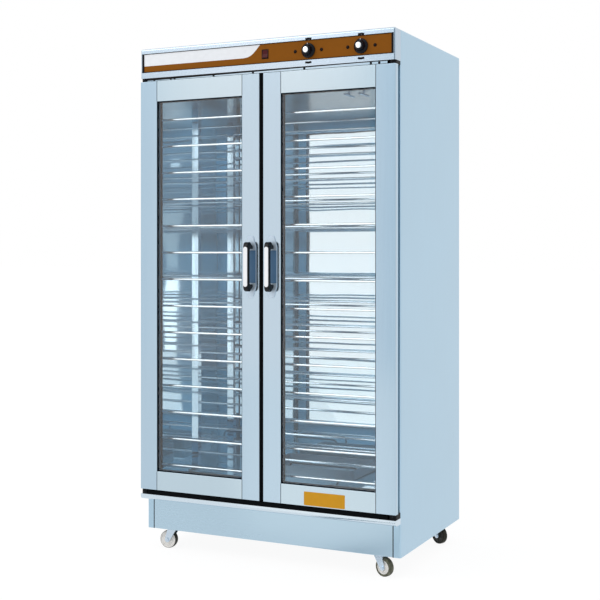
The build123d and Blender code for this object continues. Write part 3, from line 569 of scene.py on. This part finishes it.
# %% Glass
pane_glass = bpy.data.materials.new("pane_glass")
tree = new_tree(pane_glass)
clear = add_node(tree, "ShaderNodeBsdfPrincipled", {
    "Metallic": 0.0, "Transmission Weight": 1.0, "IOR": 1.5,
    "Base Color": (0.935, 0.975, 0.985, 1)})
open_way = add_node(tree, "ShaderNodeBsdfTransparent", {"Color": (0.90, 0.94, 0.94, 1)})
path = tree.nodes.new("ShaderNodeLightPath")
show_blend(tree, path.outputs["Is Shadow Ray"], clear.outputs["BSDF"], open_way.outputs["BSDF"])
wipe = use_group(tree, settled_dust, {"Scale": 3.0, "Amount": 0.02})
join(tree, wipe.outputs["Mask"], clear.inputs["Roughness"])
print("glass", pane_glass.name)

# %% [markdown]
# Rubber and plastic differ from steel in that dust shows on them and that they
# shine less. The same groups make them, with an even grain.

# %% Plastic and rubber function
plastic_edge_width = 0.0012
plastic_edge_share = 0.4


def moulded(name, colour, roughness, dust=0.10, dust_colour=(0.45, 0.45, 0.44), dust_scale=60.0,
            relief=0.08, edge=0.25, gloss=0.25):
    """Rubber or plastic with settled dust, edges paler from wear and a painted highlight, and a
    fine texture.
    """
    made, tree, shader = principled(name, {"Metallic": 0.0, "Specular IOR Level": gloss})
    finish = use_group(tree, sheet_finish, {
        "Stretch": (60, 60, 60), "Colour": (*colour, 1), "Tone Spread": 0.12,
        "Roughness": roughness, "Roughness Spread": 0.12})
    dusting = use_group(tree, settled_dust, {"Scale": dust_scale, "Amount": dust})
    catch = use_group(tree, painted_edge_highlight, {"Width": plastic_edge_width, "Strength": edge})
    # Paler edges in the dust colour: partly wear, partly a painted highlight.
    worn_and_lit_edges = calculate(tree, "MULTIPLY", catch.outputs["Mask"], plastic_edge_share)
    shown = calculate(tree, "MAXIMUM", dusting.outputs["Mask"], worn_and_lit_edges)
    colour_over(tree, shader, shown, finish.outputs["Colour"], dust_colour)
    join(tree, finish.outputs["Roughness"], shader.inputs["Roughness"])
    add_bump(tree, shader, dusting.outputs["Height"], relief, bump_depth)
    return made


print("plastic function ready")

# %% [markdown]
# Seals are nearly black and dull, knobs and grips are black and glossy, and the
# small coloured pieces are moulded too.

# %% Plastics
for name, colour, roughness, values in (
        ("black_rubber", (0.0015, 0.0025, 0.0035), 0.60, {"dust": 0.0, "gloss": 0.05,
                                                          "edge": 0.03}),
        ("gasket_slate", (0.090, 0.190, 0.270), 0.45, {"dust": 0.02, "edge": 0.05}),
        ("glazing_rubber", (0.002, 0.006, 0.011), 0.50, {"dust": 0.0, "gloss": 0.06, "edge": 0.03}),
        ("frame_black", (0.003, 0.004, 0.006), 0.45, {"dust": 0.02, "gloss": 0.10, "edge": 0.05}),
        ("grip_black", (0.003, 0.004, 0.007), 0.22, {"dust": 0.01, "gloss": 0.20, "edge": 0.05}),
        ("knob_black", (0.002, 0.004, 0.009), 0.14, {"dust": 0.0, "gloss": 0.15, "relief": 0.02,
                                                     "edge": 0.0}),
        ("switch_black", (0.012, 0.002, 0.001), 0.40, {"dust": 0.03, "gloss": 0.12, "edge": 0.1}),
        ("rocker_red", (0.070, 0.004, 0.007), 0.30, {"dust": 0.02, "gloss": 0.12, "edge": 0.1}),
        ("lamp_amber", (0.010, 0.0035, 0.002), 0.25, {"dust": 0.01, "gloss": 0.10, "edge": 0.05}),
        ("gland_grey", (0.12, 0.12, 0.12), 0.45, {}),
        ("foam_yellow", (0.62, 0.52, 0.30), 0.9, {"dust": 0.3, "relief": 0.6, "edge": 0}),
        ("tyre_black", (0.030, 0.034, 0.028), 0.60, {"dust": 0.5,
                                                     "dust_colour": (0.16, 0.17, 0.12)}),
        ("control_film", (0.250, 0.086, 0.009), 0.45, {"dust": 0.0, "gloss": 0.03})):
    finishes[name] = moulded(name, colour, roughness, **values)
print("finishes so far:", len(finishes))

# %% [markdown]
# ## Putting the finishes on the exact pieces
# Most solids already have the right shape, so they only need their finish. A handle's node holds
# both its white strip, a painted highlight along the grip, and its steel base, and a door frame is
# bright in front and dull inside. Picking faces by number would break when the model is built
# again, so these three finishes change with depth instead.

# %% Finishes that change with depth
def by_depth(name, front_finish, back_finish, limit):
    """One finish in front of a y value and another one behind it."""
    made = bpy.data.materials.new(name)
    tree = new_tree(made)
    ends = []
    for colour, metallic, roughness in (front_finish, back_finish):
        shader = finished_shader(tree, colour, metallic, {"Roughness": roughness})
        ends.append(shader.outputs["BSDF"])
    place = tree.nodes.new("ShaderNodeTexCoord")
    parts = tree.nodes.new("ShaderNodeSeparateXYZ")
    join(tree, place.outputs["Object"], parts.inputs["Vector"])
    show_blend(tree, calculate(tree, "GREATER_THAN", parts.outputs["Y"], limit), *ends)
    return made


# Painted highlight: a white strip along the grip's front.
grip_painted_highlight = ((0.95, 0.97, 1.0), 0.0, 0.20)
handle_base = ((0.56, 0.67, 0.78), 0.75, 0.45)
stile_front = ((0.44, 0.57, 0.68), 1.0, 0.16)
# Painted sheen: the rails are the stiles' steel drawn paler.
rail_front_painted_sheen = ((0.50, 0.62, 0.70), 1.0, 0.18)
frame_inside = ((0.34, 0.60, 0.76), 0.2, 0.40)
base_from, inside_from = -0.335, -0.306
handle_bright = by_depth("handle_bright", grip_painted_highlight, handle_base, base_from)
stile_and_back = by_depth("stile_back", stile_front, frame_inside, inside_from)
rail_and_back = by_depth("rail_back", rail_front_painted_sheen, frame_inside, inside_from)
print("finishes that change with depth: 3")

# %% [markdown]
# Every piece of the exact model gets one of the finishes. Pieces that come in
# pairs or fours are named in loops.

# %% Assign finishes
finishes.update(lining=lining, ceiling=ceiling_sheet, glass=pane_glass, handle=handle_bright,
                rails=rail_and_back, stiles=stile_and_back)
finish_of = {}
for finish, names in (
        ("casing_steel", "back_panel left_side_panel right_side_panel top_panel"),
        ("apron_steel", "apron_panel"), ("header_steel", "header_box"),
        ("sill_steel", "sill_nose"), ("stile_steel", "hinge_rail"),
        ("base_steel", "base_channels bottom_panel"),
        ("upright_steel", "centre_mullion rack_uprights"),
        ("rod_steel", "front_tray_rods"), ("rod_steel_deep", "middle_tray_rods rear_tray_rods"),
        ("element_steel", "heating_elements"), ("tray_steel", "water_tray"),
        ("zinc", "caster_plates sensor_bulbs thermostats"), ("ceiling", "liner_ceiling"),
        ("lining", "liner_back_wall liner_floor liner_side_walls"),
        # The opening frame is black as painted shade, for the dark gap at the doors' corners.
        ("frame_black", "hinge_brackets hinge_rail_screws opening_frame"),
        ("control_film", "control_fascia"), ("knob_black", "temperature_knob humidity_knob"),
        ("rocker_red", "power_rocker"), ("switch_black", "switch_housing"),
        ("lamp_amber", "indicator_lamps"), ("black_rubber", "sill_seal"),
        ("gland_grey", "cable_gland"), ("foam_yellow", "wall_insulation")):
    for name in names.split():
        finish_of[name] = finish
for side in ("left", "right"):
    for piece, finish in (
            ("gasket", "gasket_slate"), ("glass", "glass"), ("glazing_seal", "glazing_rubber"),
            ("handle", "grip_black"), ("handle_strip", "handle"),
            ("meeting_seal", "black_rubber"), ("rails", "rails"), ("stiles", "stiles")):
        finish_of[f"{side}_door_{piece}"] = finish
    for end in ("front", "rear"):
        finish_of[f"{end}_{side}_caster_fork"] = "zinc"
        finish_of[f"{end}_{side}_caster_wheel"] = "tyre_black"
for node, finish in finish_of.items():
    materials = nodes[node].data.materials
    for slot in range(len(materials)):
        materials[slot] = finishes[finish]
print("dressed", len(finish_of), "of", len(nodes))

# %% [markdown]
# ## Pieces made for the picture
# Some visible things are finer than the exact model needs: the printed film of
# the fascia, the polished caps of the knobs, the treads and centres of the
# wheels. They are built here as meshes from their own outlines, in the places
# that the exact pieces give, and ride on the same bodies.

# %% Mesh helpers
MM = 0.001


def in_mm(pairs):
    """Pairs given in millimetres, as metres."""
    return [(first * MM, second * MM) for first, second in pairs]


def mesh_piece(name, points, faces, finish, body):
    """A mesh object with one finish that rides on a body."""
    mesh = bpy.data.meshes.new(name)
    mesh.from_pydata(points, [], faces)
    mesh.materials.append(finish)
    shaped = bmesh.new()
    shaped.from_mesh(mesh)
    bmesh.ops.recalc_face_normals(shaped, faces=shaped.faces)
    shaped.to_mesh(mesh)
    shaped.free()
    piece = add_object(name, mesh)
    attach(piece, body)
    return piece


def soften(piece, width, segments=2, angle=35):
    """A small bevel on the sharp edges, with even shading."""
    bevel = piece.modifiers.new("soft_edges", "BEVEL")
    bevel.width = width
    bevel.segments = segments
    bevel.limit_method = "ANGLE"
    bevel.angle_limit = math.radians(angle)
    bevel.harden_normals = True
    piece.data.polygons.foreach_set("use_smooth", [True] * len(piece.data.polygons))
    return piece


print("mesh helpers ready")

# %% [markdown]
# Flat trim and print are thin upright sheets. An outline in x and z with a front
# and a back is the shortest way to write one down.

# %% Sheet helpers
def four_corners(x_low, x_high, z_low, z_high):
    """The four corners of an upright rectangle."""
    return [(x_low, z_low), (x_high, z_low), (x_high, z_high), (x_low, z_high)]


def prism_faces(count):
    """The faces of a prism between two outlines."""
    ends = [tuple(range(count)), tuple(reversed(range(count, 2 * count)))]
    return ends + [(k, (k + 1) % count, count + (k + 1) % count, count + k) for k in range(count)]


def sheet_from_outline(name, outline, front, back, finish, body):
    """A thin upright sheet from an (x, z) outline, between two y values."""
    points = [(x, y, z) for y in (front, back) for x, z in outline]
    return mesh_piece(name, points, prism_faces(len(outline)), finish, body)


print("sheet helpers ready")

# %% [markdown]
# Knobs, collars and wheels are round, so a profile turned about an axis makes
# them. A Screw modifier does the same, but here a function may also change the
# radius by the angle, which gives flutes. A ring joins the end of its profile to
# the start, instead of closing both ends.

# %% Lathe helper
def lathe(name, profile, centre, axis, finish, body, steps=64, radius_at=None,
          ring_shaped=False):
    """Turn an (along, radius) profile about an axis."""
    along_axis = Vector(axis).normalized()
    across = along_axis.orthogonal().normalized()
    other = along_axis.cross(across)
    points, faces = [], []
    for along, radius in profile:
        for step in range(steps):
            angle = 2 * math.pi * step / steps
            reach = radius_at(along, radius, angle) if radius_at else radius
            outward = across * math.cos(angle) + other * math.sin(angle)
            points.append(centre + along_axis * along + outward * reach)
    rings = len(profile)
    for ring in range(rings if ring_shaped else rings - 1):
        here, there = ring * steps, (ring + 1) % rings * steps
        for step in range(steps):
            after = (step + 1) % steps
            faces.append((here + step, here + after, there + after, there + step))
    if not ring_shaped:
        faces.append(tuple(reversed(range(steps))))
        faces.append(tuple(range((rings - 1) * steps, rings * steps)))
    return soften(mesh_piece(name, points, faces, finish, body), 0.2 * MM, 1, 40)


print("lathe ready")

# %% [markdown]
# ### The fascia film
# The film is one printed sheet behind a window in the header. Its left part is a
# white field for a name plate, which stays empty here, with a swept right end.
# The printed field is a very thin sheet on the film, so that its edge is crisp.

# %% Film field
film_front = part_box("control_fascia")[0].y
window_low = Vector((-487.0 * MM, 0, 1755.0 * MM))
window_high = Vector((487.0 * MM, 0, 1824.0 * MM))
strip_below = 24 * MM
field_thickness = 0.15 * MM
swept_end = [(-72, 45), (-55, 43), (-42, 38), (-31, 30), (-20, 19), (-10, 8), (-2, 0)]
outline = [(window_low.x, window_high.z), (window_low.x, window_low.z + strip_below)]
outline += [(x * MM, window_high.z - drop * MM) for x, drop in swept_end]
white_print = moulded("white_print", (0.86, 0.89, 0.93), 0.30, dust=0.03,
                      dust_colour=(0.6, 0.6, 0.6), edge=0)
sheet_from_outline("name_field", outline, film_front - field_thickness, film_front, white_print,
                   "cabinet")
print("film field", len(outline), "corners")

# %% [markdown]
# A dark bead closes the gap between the film and the window. It is made of four straight runs,
# which are thin above and below and wider at the two ends, where the extra width is painted shade
# on the window's side walls.

# %% Dark bead
bead_black = moulded("bead_black", (0.003, 0.003, 0.005), 0.4, dust=0.01, edge=0, gloss=0.1)
bead_height = 2.0 * MM


def bead(name, *limits):
    """One straight run of the bead round the film."""
    piece = sheet_from_outline(name, four_corners(*limits), film_front - bead_height, film_front,
                               bead_black, "cabinet")
    soften(piece, 0.25 * MM)


# The wider ends are painted shade.
thin, lap = 2.4 * MM, 6.5 * MM
bead("bead_top", window_low.x, window_high.x, window_high.z - thin, window_high.z)
bead("bead_bottom", window_low.x, window_high.x, window_low.z, window_low.z + thin)
bead("bead_left", window_low.x - lap, window_low.x + 2 * MM, window_low.z, window_high.z)
bead("bead_right", window_high.x - 1 * MM, window_high.x + lap, window_low.z, window_high.z)
print("bead round the film")

# %% [markdown]
# ### Gaps that stay dark
# A joint between two sheets shows as a dark line, because light doesn't get out
# of it. The doors have one beside each rail, and the apron has one at each end.
# A thin dark strip in front of the joint is the simplest way to draw the line.

# %% Joint lines
joint_width = 2.0 * MM
apron_joint_width = 1.8 * joint_width
pane_lap = 5.5 * MM


def upright_line(name, x, z_low, z_high, front, width, body):
    """A thin dark packing strip in an upright joint."""
    outline = four_corners(x - width / 2, x + width / 2, z_low, z_high)
    sheet_from_outline(name, outline, front - 0.2 * MM, front + 1 * MM, finishes["frame_black"],
                       body)


openings = {}
for side in ("left", "right"):
    glass_low, glass_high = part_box(f"{side}_door_glass")
    rail_low, rail_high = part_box(f"{side}_door_rails")
    near, far = glass_low.x + pane_lap, glass_high.x - pane_lap
    foot, head = glass_low.z + pane_lap, glass_high.z - pane_lap
    openings[side] = (near, far, foot, head)
    for end, x in (("near", near), ("far", far)):
        for place, z_low, z_high in (("foot", rail_low.z, foot), ("head", head, rail_high.z)):
            upright_line(f"{side}_{end}_{place}_joint", x, z_low, z_high, rail_low.y, joint_width,
                         f"{side}_door")
apron_low, apron_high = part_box("apron_panel")
for end, x in (("left", apron_low.x), ("right", apron_high.x)):
    upright_line(f"apron_{end}_joint", x, apron_low.z, apron_high.z, apron_low.y,
                 apron_joint_width, "cabinet")
print("joint lines on", len(openings), "doors and the apron")

# %% [markdown]
# A dark strip under the header paints the shadow in the gap there. It gets narrower towards the
# right, so it has an outline of its own.

# %% Painted shadow under the header
# Painted shadow: a black strip where the gap under the header is in shade.
shade_left, shade_right = 9 * MM, 2.5 * MM
rail_low, rail_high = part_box("hinge_rail")
header_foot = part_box("header_box")[0].z
gap = [(rail_low.x, header_foot - shade_left), (rail_high.x, header_foot - shade_right),
       (rail_high.x, header_foot), (rail_low.x, header_foot)]
sheet_from_outline("header_shade_strip", gap, rail_low.y - 0.4 * MM, rail_low.y + 1 * MM,
                   finishes["frame_black"], "cabinet")
print("packing", round((rail_high.x - rail_low.x) / MM), "mm long")

# %% [markdown]
# ### Reveals behind the glass
# Seen at a slant, each door opening shows its own depth: a steel lining behind the pane, drawn dark
# blue as painted shade, and the lip of the gasket at the end of it. Both are plain rectangular
# rings, written as four lists of corners.

# %% Reveals
def ring_frame(name, opening, reach_out, reach_in, front, back, finish, body):
    """A rectangular ring round an opening, from its inner to its outer edge."""
    left, right, foot, head = opening
    points = []
    for y in (front, back):
        for grow in (reach_out, -reach_in):
            edges = four_corners(left - grow, right + grow, foot - grow, head + grow)
            points += [(x, y, z) for x, z in edges]
    faces = []
    for k in range(4):
        n = (k + 1) % 4
        faces += [(a + k, a + n, b + n, b + k) for a, b in ((0, 4), (8, 12), (0, 8), (4, 12))]
    mesh_piece(name, points, faces, finish, body)


# Painted shade: the reveal is steel, drawn dark and dull.
reveal_painted_shade = moulded("reveal_painted_shade", (0.025, 0.060, 0.100), 0.5, dust=0.0, edge=0)
for side in ("left", "right"):
    glass_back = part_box(f"{side}_door_glass")[1].y
    frame_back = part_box(f"{side}_door_rails")[1].y
    ring_frame(f"{side}_reveal", openings[side], 1 * MM, 1.5 * MM, glass_back + 0.3 * MM,
               frame_back, reveal_painted_shade, f"{side}_door")
    ring_frame(f"{side}_reveal_lip", openings[side], 1 * MM, 3.0 * MM, frame_back + 0.2 * MM,
               frame_back + 6 * MM, finishes["black_rubber"], f"{side}_door")
print("reveals behind both panes")

# %% [markdown]
# A narrow dark strip runs up the left wall, and another one up the post, just behind the doors, as
# painted shade where the front of the chamber is in shadow. Each is a very flat upright bar, which
# reuses the faces of the thin sheets with its outline lying flat.

# %% Painted shade strips
shade_strip_front, shade_strip_back, shade_strip_thickness = -265.5 * MM, -240 * MM, 0.5 * MM
shade_strip_foot, shade_strip_head = 0.250, 1.701
# Painted shade: dark strips on the wall and the post.
for name, wall_x in (("left_wall_trim", -460.7 * MM), ("mullion_trim", 47.5 * MM)):
    outline = four_corners(wall_x, wall_x + shade_strip_thickness, shade_strip_front, shade_strip_back)
    points = [(x, y, z) for z in (shade_strip_foot, shade_strip_head) for x, y in outline]
    mesh_piece(name, points, prism_faces(len(outline)), finishes["glazing_rubber"], "cabinet")
print("shade_strips from", shade_strip_foot, "to", shade_strip_head, "m")

# %% [markdown]
# ### The two knobs
# Each knob is a glossy black moulding with a skirt, finger flutes and a polished
# round cap. The lathe turns its profile, and a function pulls the radius in at
# each flute. The cap and pointer are separate, as on the real one.

# %% Knob profiles
cap_metal = steel("cap_metal", (0.92, 0.95, 0.98), 0.10, (200, 200, 200), tone=0.03, edge=0)
pointer_white = moulded("pointer_white", (0.75, 0.75, 0.74), 0.4, dust=0.05, edge=0)
forward = (0, -1, 0)
flutes, flute_depth = 10, 1.3 * MM
flute_start, flute_end = 10 * MM, 24 * MM
skirt = in_mm([(0, 24.2), (1.2, 25.4), (3.4, 25.4), (4.4, 24.9), (8.6, 20.6), (9.6, 19.6),
               (12, 18.6), (16, 17.8), (20, 17.0)])
crown = in_mm([(2.6, 15.8), (1.4, 15.0), (0.9, 13.9), (0.9, 10.4), (1.6, 10.0)])
cap_face = in_mm([(2.0, 9.8), (0.5, 9.8), (0.15, 9.2), (0.05, 7), (0, 2)])


def fluted(along, radius, angle):
    """Pull the neck of the knob in at each flute."""
    if not flute_start < along < flute_end:
        return radius
    return radius - flute_depth * max(0.0, math.cos(flutes * angle)) ** 2


print("knob profiles ready,", flutes, "flutes")

# %% [markdown]
# Above and below each knob a dark arc crosses the header's edges, a painted reflection of the knob
# in them. The arcs are thin curved sheets, without words or numbers.

# %% Painted knob reflections
header_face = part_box("header_box")[0].y
arc_outer, arc_inner, arc_thickness = 44.5 * MM, 37.5 * MM, 0.8 * MM
arc_turns = range(-16, 17, 4)


def knob_reflection_marks(node, centre):
    """One painted reflection arc above a knob and one below it."""
    for end, middle in (("top", 90), ("bottom", 270)):
        angles = [math.radians(middle + turn) for turn in arc_turns]
        arc = [(centre.x + reach * math.cos(angle), centre.z + reach * math.sin(angle))
               for reach, way in ((arc_outer, 1), (arc_inner, -1)) for angle in angles[::way]]
        sheet_from_outline(f"{node}_knob_reflection_{end}", arc, header_face - arc_thickness, header_face,
                           bead_black, "cabinet")


print("knob_reflection marks ready")

# %% [markdown]
# The knobs are put together at the place of the exact ones, which they replace.
# The profile starts just in front of the film and ends where the exact knob ends.

# %% Knobs
knob_gap = 0.7 * MM
pointer_foot, pointer_tip = 20.8 * MM, 24.8 * MM
foot_half, tip_half = 0.8 * MM, 0.4 * MM
pointer_front, pointer_back = 9.6 * MM, 4.3 * MM
for node in ("temperature_knob", "humidity_knob"):
    body = f"{node}_body"
    low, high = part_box(node)
    centre = Vector(((low.x + high.x) / 2, film_front - knob_gap, (low.z + high.z) / 2))
    reach = centre.y - low.y
    profile = skirt + [(reach - back, radius) for back, radius in crown]
    knob = lathe(f"{node}_grip", profile, centre, forward, finishes["knob_black"], body,
                 120, fluted)
    knob.modifiers.clear()
    shade = knob.modifiers.new("even_shading", "WEIGHTED_NORMAL")
    shade.keep_sharp = True
    lathe(f"{node}_cap", [(reach - back, radius) for back, radius in cap_face], centre,
          forward, cap_metal, body, 72)
    foot, tip = centre.z + pointer_foot, centre.z + pointer_tip
    outline = [(centre.x - foot_half, foot), (centre.x + foot_half, foot),
               (centre.x + tip_half, tip), (centre.x - tip_half, tip)]
    sheet_from_outline(f"{node}_pointer", outline, centre.y - pointer_front,
                       centre.y - pointer_back, pointer_white, body)
    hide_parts(node)
    knob_reflection_marks(node, centre)
    print(node, "reach", round(reach / MM, 1), "mm")

# %% [markdown]
# ### Lamp collars
# A dark collar on the film holds each of the four small lamps beside the knobs.
# It is turned like a knob, from three points.

# %% Collars
lamp_low, lamp_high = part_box("indicator_lamps")
collar_dark = moulded("collar_dark", (0.012, 0.003, 0.002), 0.35, dust=0.0, edge=0, gloss=0.08)
collar = in_mm([(0, 6.0), (0.9, 6.0), (1.3, 5.4)])
lamp_edge = 6 * MM
across_knob = 2 * 49.5 * MM
lamp_height = (lamp_low.z + lamp_high.z) / 2
for number, x in enumerate((lamp_low.x + lamp_edge, lamp_low.x + lamp_edge + across_knob,
                            lamp_high.x - lamp_edge - across_knob, lamp_high.x - lamp_edge)):
    lathe(f"lamp_collar_{number + 1}", collar, Vector((x, film_front, lamp_height)), forward,
          collar_dark, "cabinet", 36)
print("four lamp collars")

# %% [markdown]
# ### Painted reflections on the handles
# Between its two feet, the base plate of each handle gets a blue painted reflection of the grip's
# dark side, with a paler painted band along its left edge. Two thin sheets on the plate are simpler
# than drawing them in the plate's finish, and their edges stay sharp.

# %% Painted reflections on the handles
# Painted reflection: the grip's dark side in the plate, and a paler band beside it.
grip_reflection_blue = moulded("grip_reflection_blue", (0.095, 0.195, 0.340), 0.35, dust=0.02, edge=0)
grip_reflection_pale = moulded("grip_reflection_pale", (0.42, 0.58, 0.74), 0.35, dust=0.02, edge=0)
reflection_foot, reflection_head = 0.990, 1.104
plate_thickness, reflection_thickness = 3 * MM, 0.3 * MM
for side in ("left", "right"):
    strip_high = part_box(f"{side}_door_handle_strip")[1]
    plate_front = strip_high.y - plate_thickness
    blue_low, blue_high = strip_high.x - 25.5 * MM, strip_high.x - 1.5 * MM
    pale_low = blue_low - 4.5 * MM
    for part, low_x, high_x, finish in (("pale", pale_low, blue_low, grip_reflection_pale),
                                        ("blue", blue_low, blue_high, grip_reflection_blue)):
        sheet_from_outline(f"{side}_grip_reflection_{part}",
                           four_corners(low_x, high_x, reflection_foot, reflection_head),
                           plate_front - reflection_thickness, plate_front, finish,
                           f"{side}_door")
print("two painted_reflections on each handle")

# %% [markdown]
# ### Wheels
# A caster wheel is a rubber tread on a moulded centre. The exact wheel is one solid, and two
# colours side by side are easiest with a piece for each. The front wheels are pale in the centre.
# The rear ones are the same wheels drawn dark as painted shade, and all treads but the front right
# one are drawn near black as painted shade. Dust has settled on the treads.

# %% Wheel finishes
front_tread = moulded("front_tread", (0.085, 0.088, 0.062), 0.50, dust=0.6,
                      dust_colour=(0.30, 0.29, 0.20), dust_scale=90)
# Painted shade: the same tread and centre drawn dark where the wheels are in shadow.
tread_painted_shade = moulded("tread_painted_shade", (0.010, 0.010, 0.005), 0.50, dust=0.25,
                     dust_colour=(0.05, 0.05, 0.03), dust_scale=90)
front_centre = moulded("front_centre", (0.90, 0.88, 0.85), 0.40, dust=0.04,
                       dust_colour=(0.60, 0.58, 0.54))
centre_painted_shade = moulded("centre_painted_shade", (0.030, 0.030, 0.028), 0.40, dust=0.2,
                      dust_colour=(0.10, 0.10, 0.08))
print("wheel finishes: 4")

# %% [markdown]
# Tread and centre are the same on both sides, so one side's profile is enough. It
# is written in shares of half the width and of the radius. The rim, where the
# two meet, is larger on some wheels than on others.

# %% Wheel profiles
radius, half = 32.5 * MM, 12 * MM
rims = {"front_left": 0.94, "front_right": 0.74, "rear_left": 0.88, "rear_right": 0.88}


def both_sides(shares):
    """A profile across the whole wheel from the shares on one side."""
    one = [(-along * half, reach * radius) for along, reach in shares]
    return one + [(-along, reach) for along, reach in reversed(one)]


def tread_profile(rim):
    """A crowned tread with a groove in the middle."""
    return both_sides([(0.86, rim - 0.02), (0.90, rim + 0.02), (0.74, 0.975), (0.40, 1),
                       (0.06, 1), (0.04, 0.985)])


def centre_profile(rim):
    """A centre with a raised hub, a dished side and a raised rim."""
    return both_sides([(1, 0.16), (1, 0.33), (0.70, 0.37), (0.66, rim - 0.09),
                       (0.86, rim - 0.05), (0.87, rim)])


print("wheel radius", radius, "width", 2 * half)

# %% [markdown]
# Raised ribs stiffen the centre. They are small tapered bars, set round the axle
# on both sides, and each starts inside the hub and ends inside the rim. The six
# ribs of a side are one piece, as they are all moulded with the centre.

# %% Ribs
rib_count, rib_foot = 6, 0.36
rib_depths = (0.66 * half, 0.80 * half)
foot_spread, rim_spread = 1.1 * MM, 0.8 * MM


def ribs(name, centre, axis, side, rim, finish, body):
    """The ribs on one side of a wheel's centre."""
    across = axis.orthogonal().normalized()
    foot_reach, rim_reach = rib_foot * radius, (rim - 0.10) * radius
    points, faces = [], []
    for rib in range(rib_count):
        turn = Matrix.Rotation(2 * math.pi / rib_count * rib, 3, axis)
        out, wide_way = turn @ across, turn @ axis.cross(across)
        start = len(points)
        for depth in rib_depths:
            for reach, spread in ((foot_reach, -foot_spread), (foot_reach, foot_spread),
                                  (rim_reach, rim_spread), (rim_reach, -rim_spread)):
                points.append(centre + axis * side * depth + out * reach + wide_way * spread)
        faces += [tuple(start + k for k in face) for face in prism_faces(4)]
    soften(mesh_piece(name, points, faces, finish, body), 0.3 * MM)


print("ribs ready,", rib_count, "on each side")

# %% [markdown]
# Every wheel is turned about the axle that its joint gives, so it lies exactly on
# the real one. The tread stands in for the exact wheel, and the rest joins it.

# %% Wheels
spin = {joint["child"]: joint for joint in frame["joints"]}
for corner, rim in rims.items():
    body = f"{corner}_wheel_body"
    tread_rubber = front_tread if corner == "front_right" else tread_painted_shade
    centre_plastic = front_centre if "front" in corner else centre_painted_shade
    centre, axis = Vector(spin[body]["pos_m"]), Vector(spin[body]["axis"]).normalized()
    tyre = lathe(f"{corner}_tread", tread_profile(rim), centre, axis, tread_rubber, body,
                 72, ring_shaped=True)
    lathe(f"{corner}_centre", centre_profile(rim), centre, axis, centre_plastic, body,
          72)
    for side, place in ((-1, "inner"), (1, "outer")):
        ribs(f"{corner}_ribs_{place}", centre, axis, side, rim, centre_plastic, body)
    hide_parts(f"{corner}_caster_wheel")
print("wheels:", len(rims))

# %% [markdown]
# ### The plain strip on the right door
# A small orange strip is stuck to the bottom rail. It carries nothing. It is one
# more thin sheet, whose corners are rounded by a few points on an arc.

# %% Orange strip
strip_orange = moulded("strip_orange", (0.66, 0.32, 0.020), 0.42, dust=0.20,
                       dust_colour=(0.50, 0.26, 0.04), gloss=0.08, dust_scale=120, edge=0)
strip_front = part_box("right_door_rails")[0].y
corner_radius, outline = 3 * MM, []
left, right = 165 * MM + corner_radius, 318 * MM - corner_radius
foot, head = 232 * MM + corner_radius, 279 * MM - corner_radius
for x, z, start in ((right, head, 0), (left, head, 90), (left, foot, 180), (right, foot, 270)):
    for step in range(5):
        angle = math.radians(start + 22.5 * step)
        outline.append((x + corner_radius * math.cos(angle), z + corner_radius * math.sin(angle)))
sheet_from_outline("orange_strip", outline, strip_front - 0.2 * MM, strip_front, strip_orange,
                   "right_door")
print("orange strip", len(outline), "corners")

# %% [markdown]
# That is every piece of the picture.

# %% End
print("done")
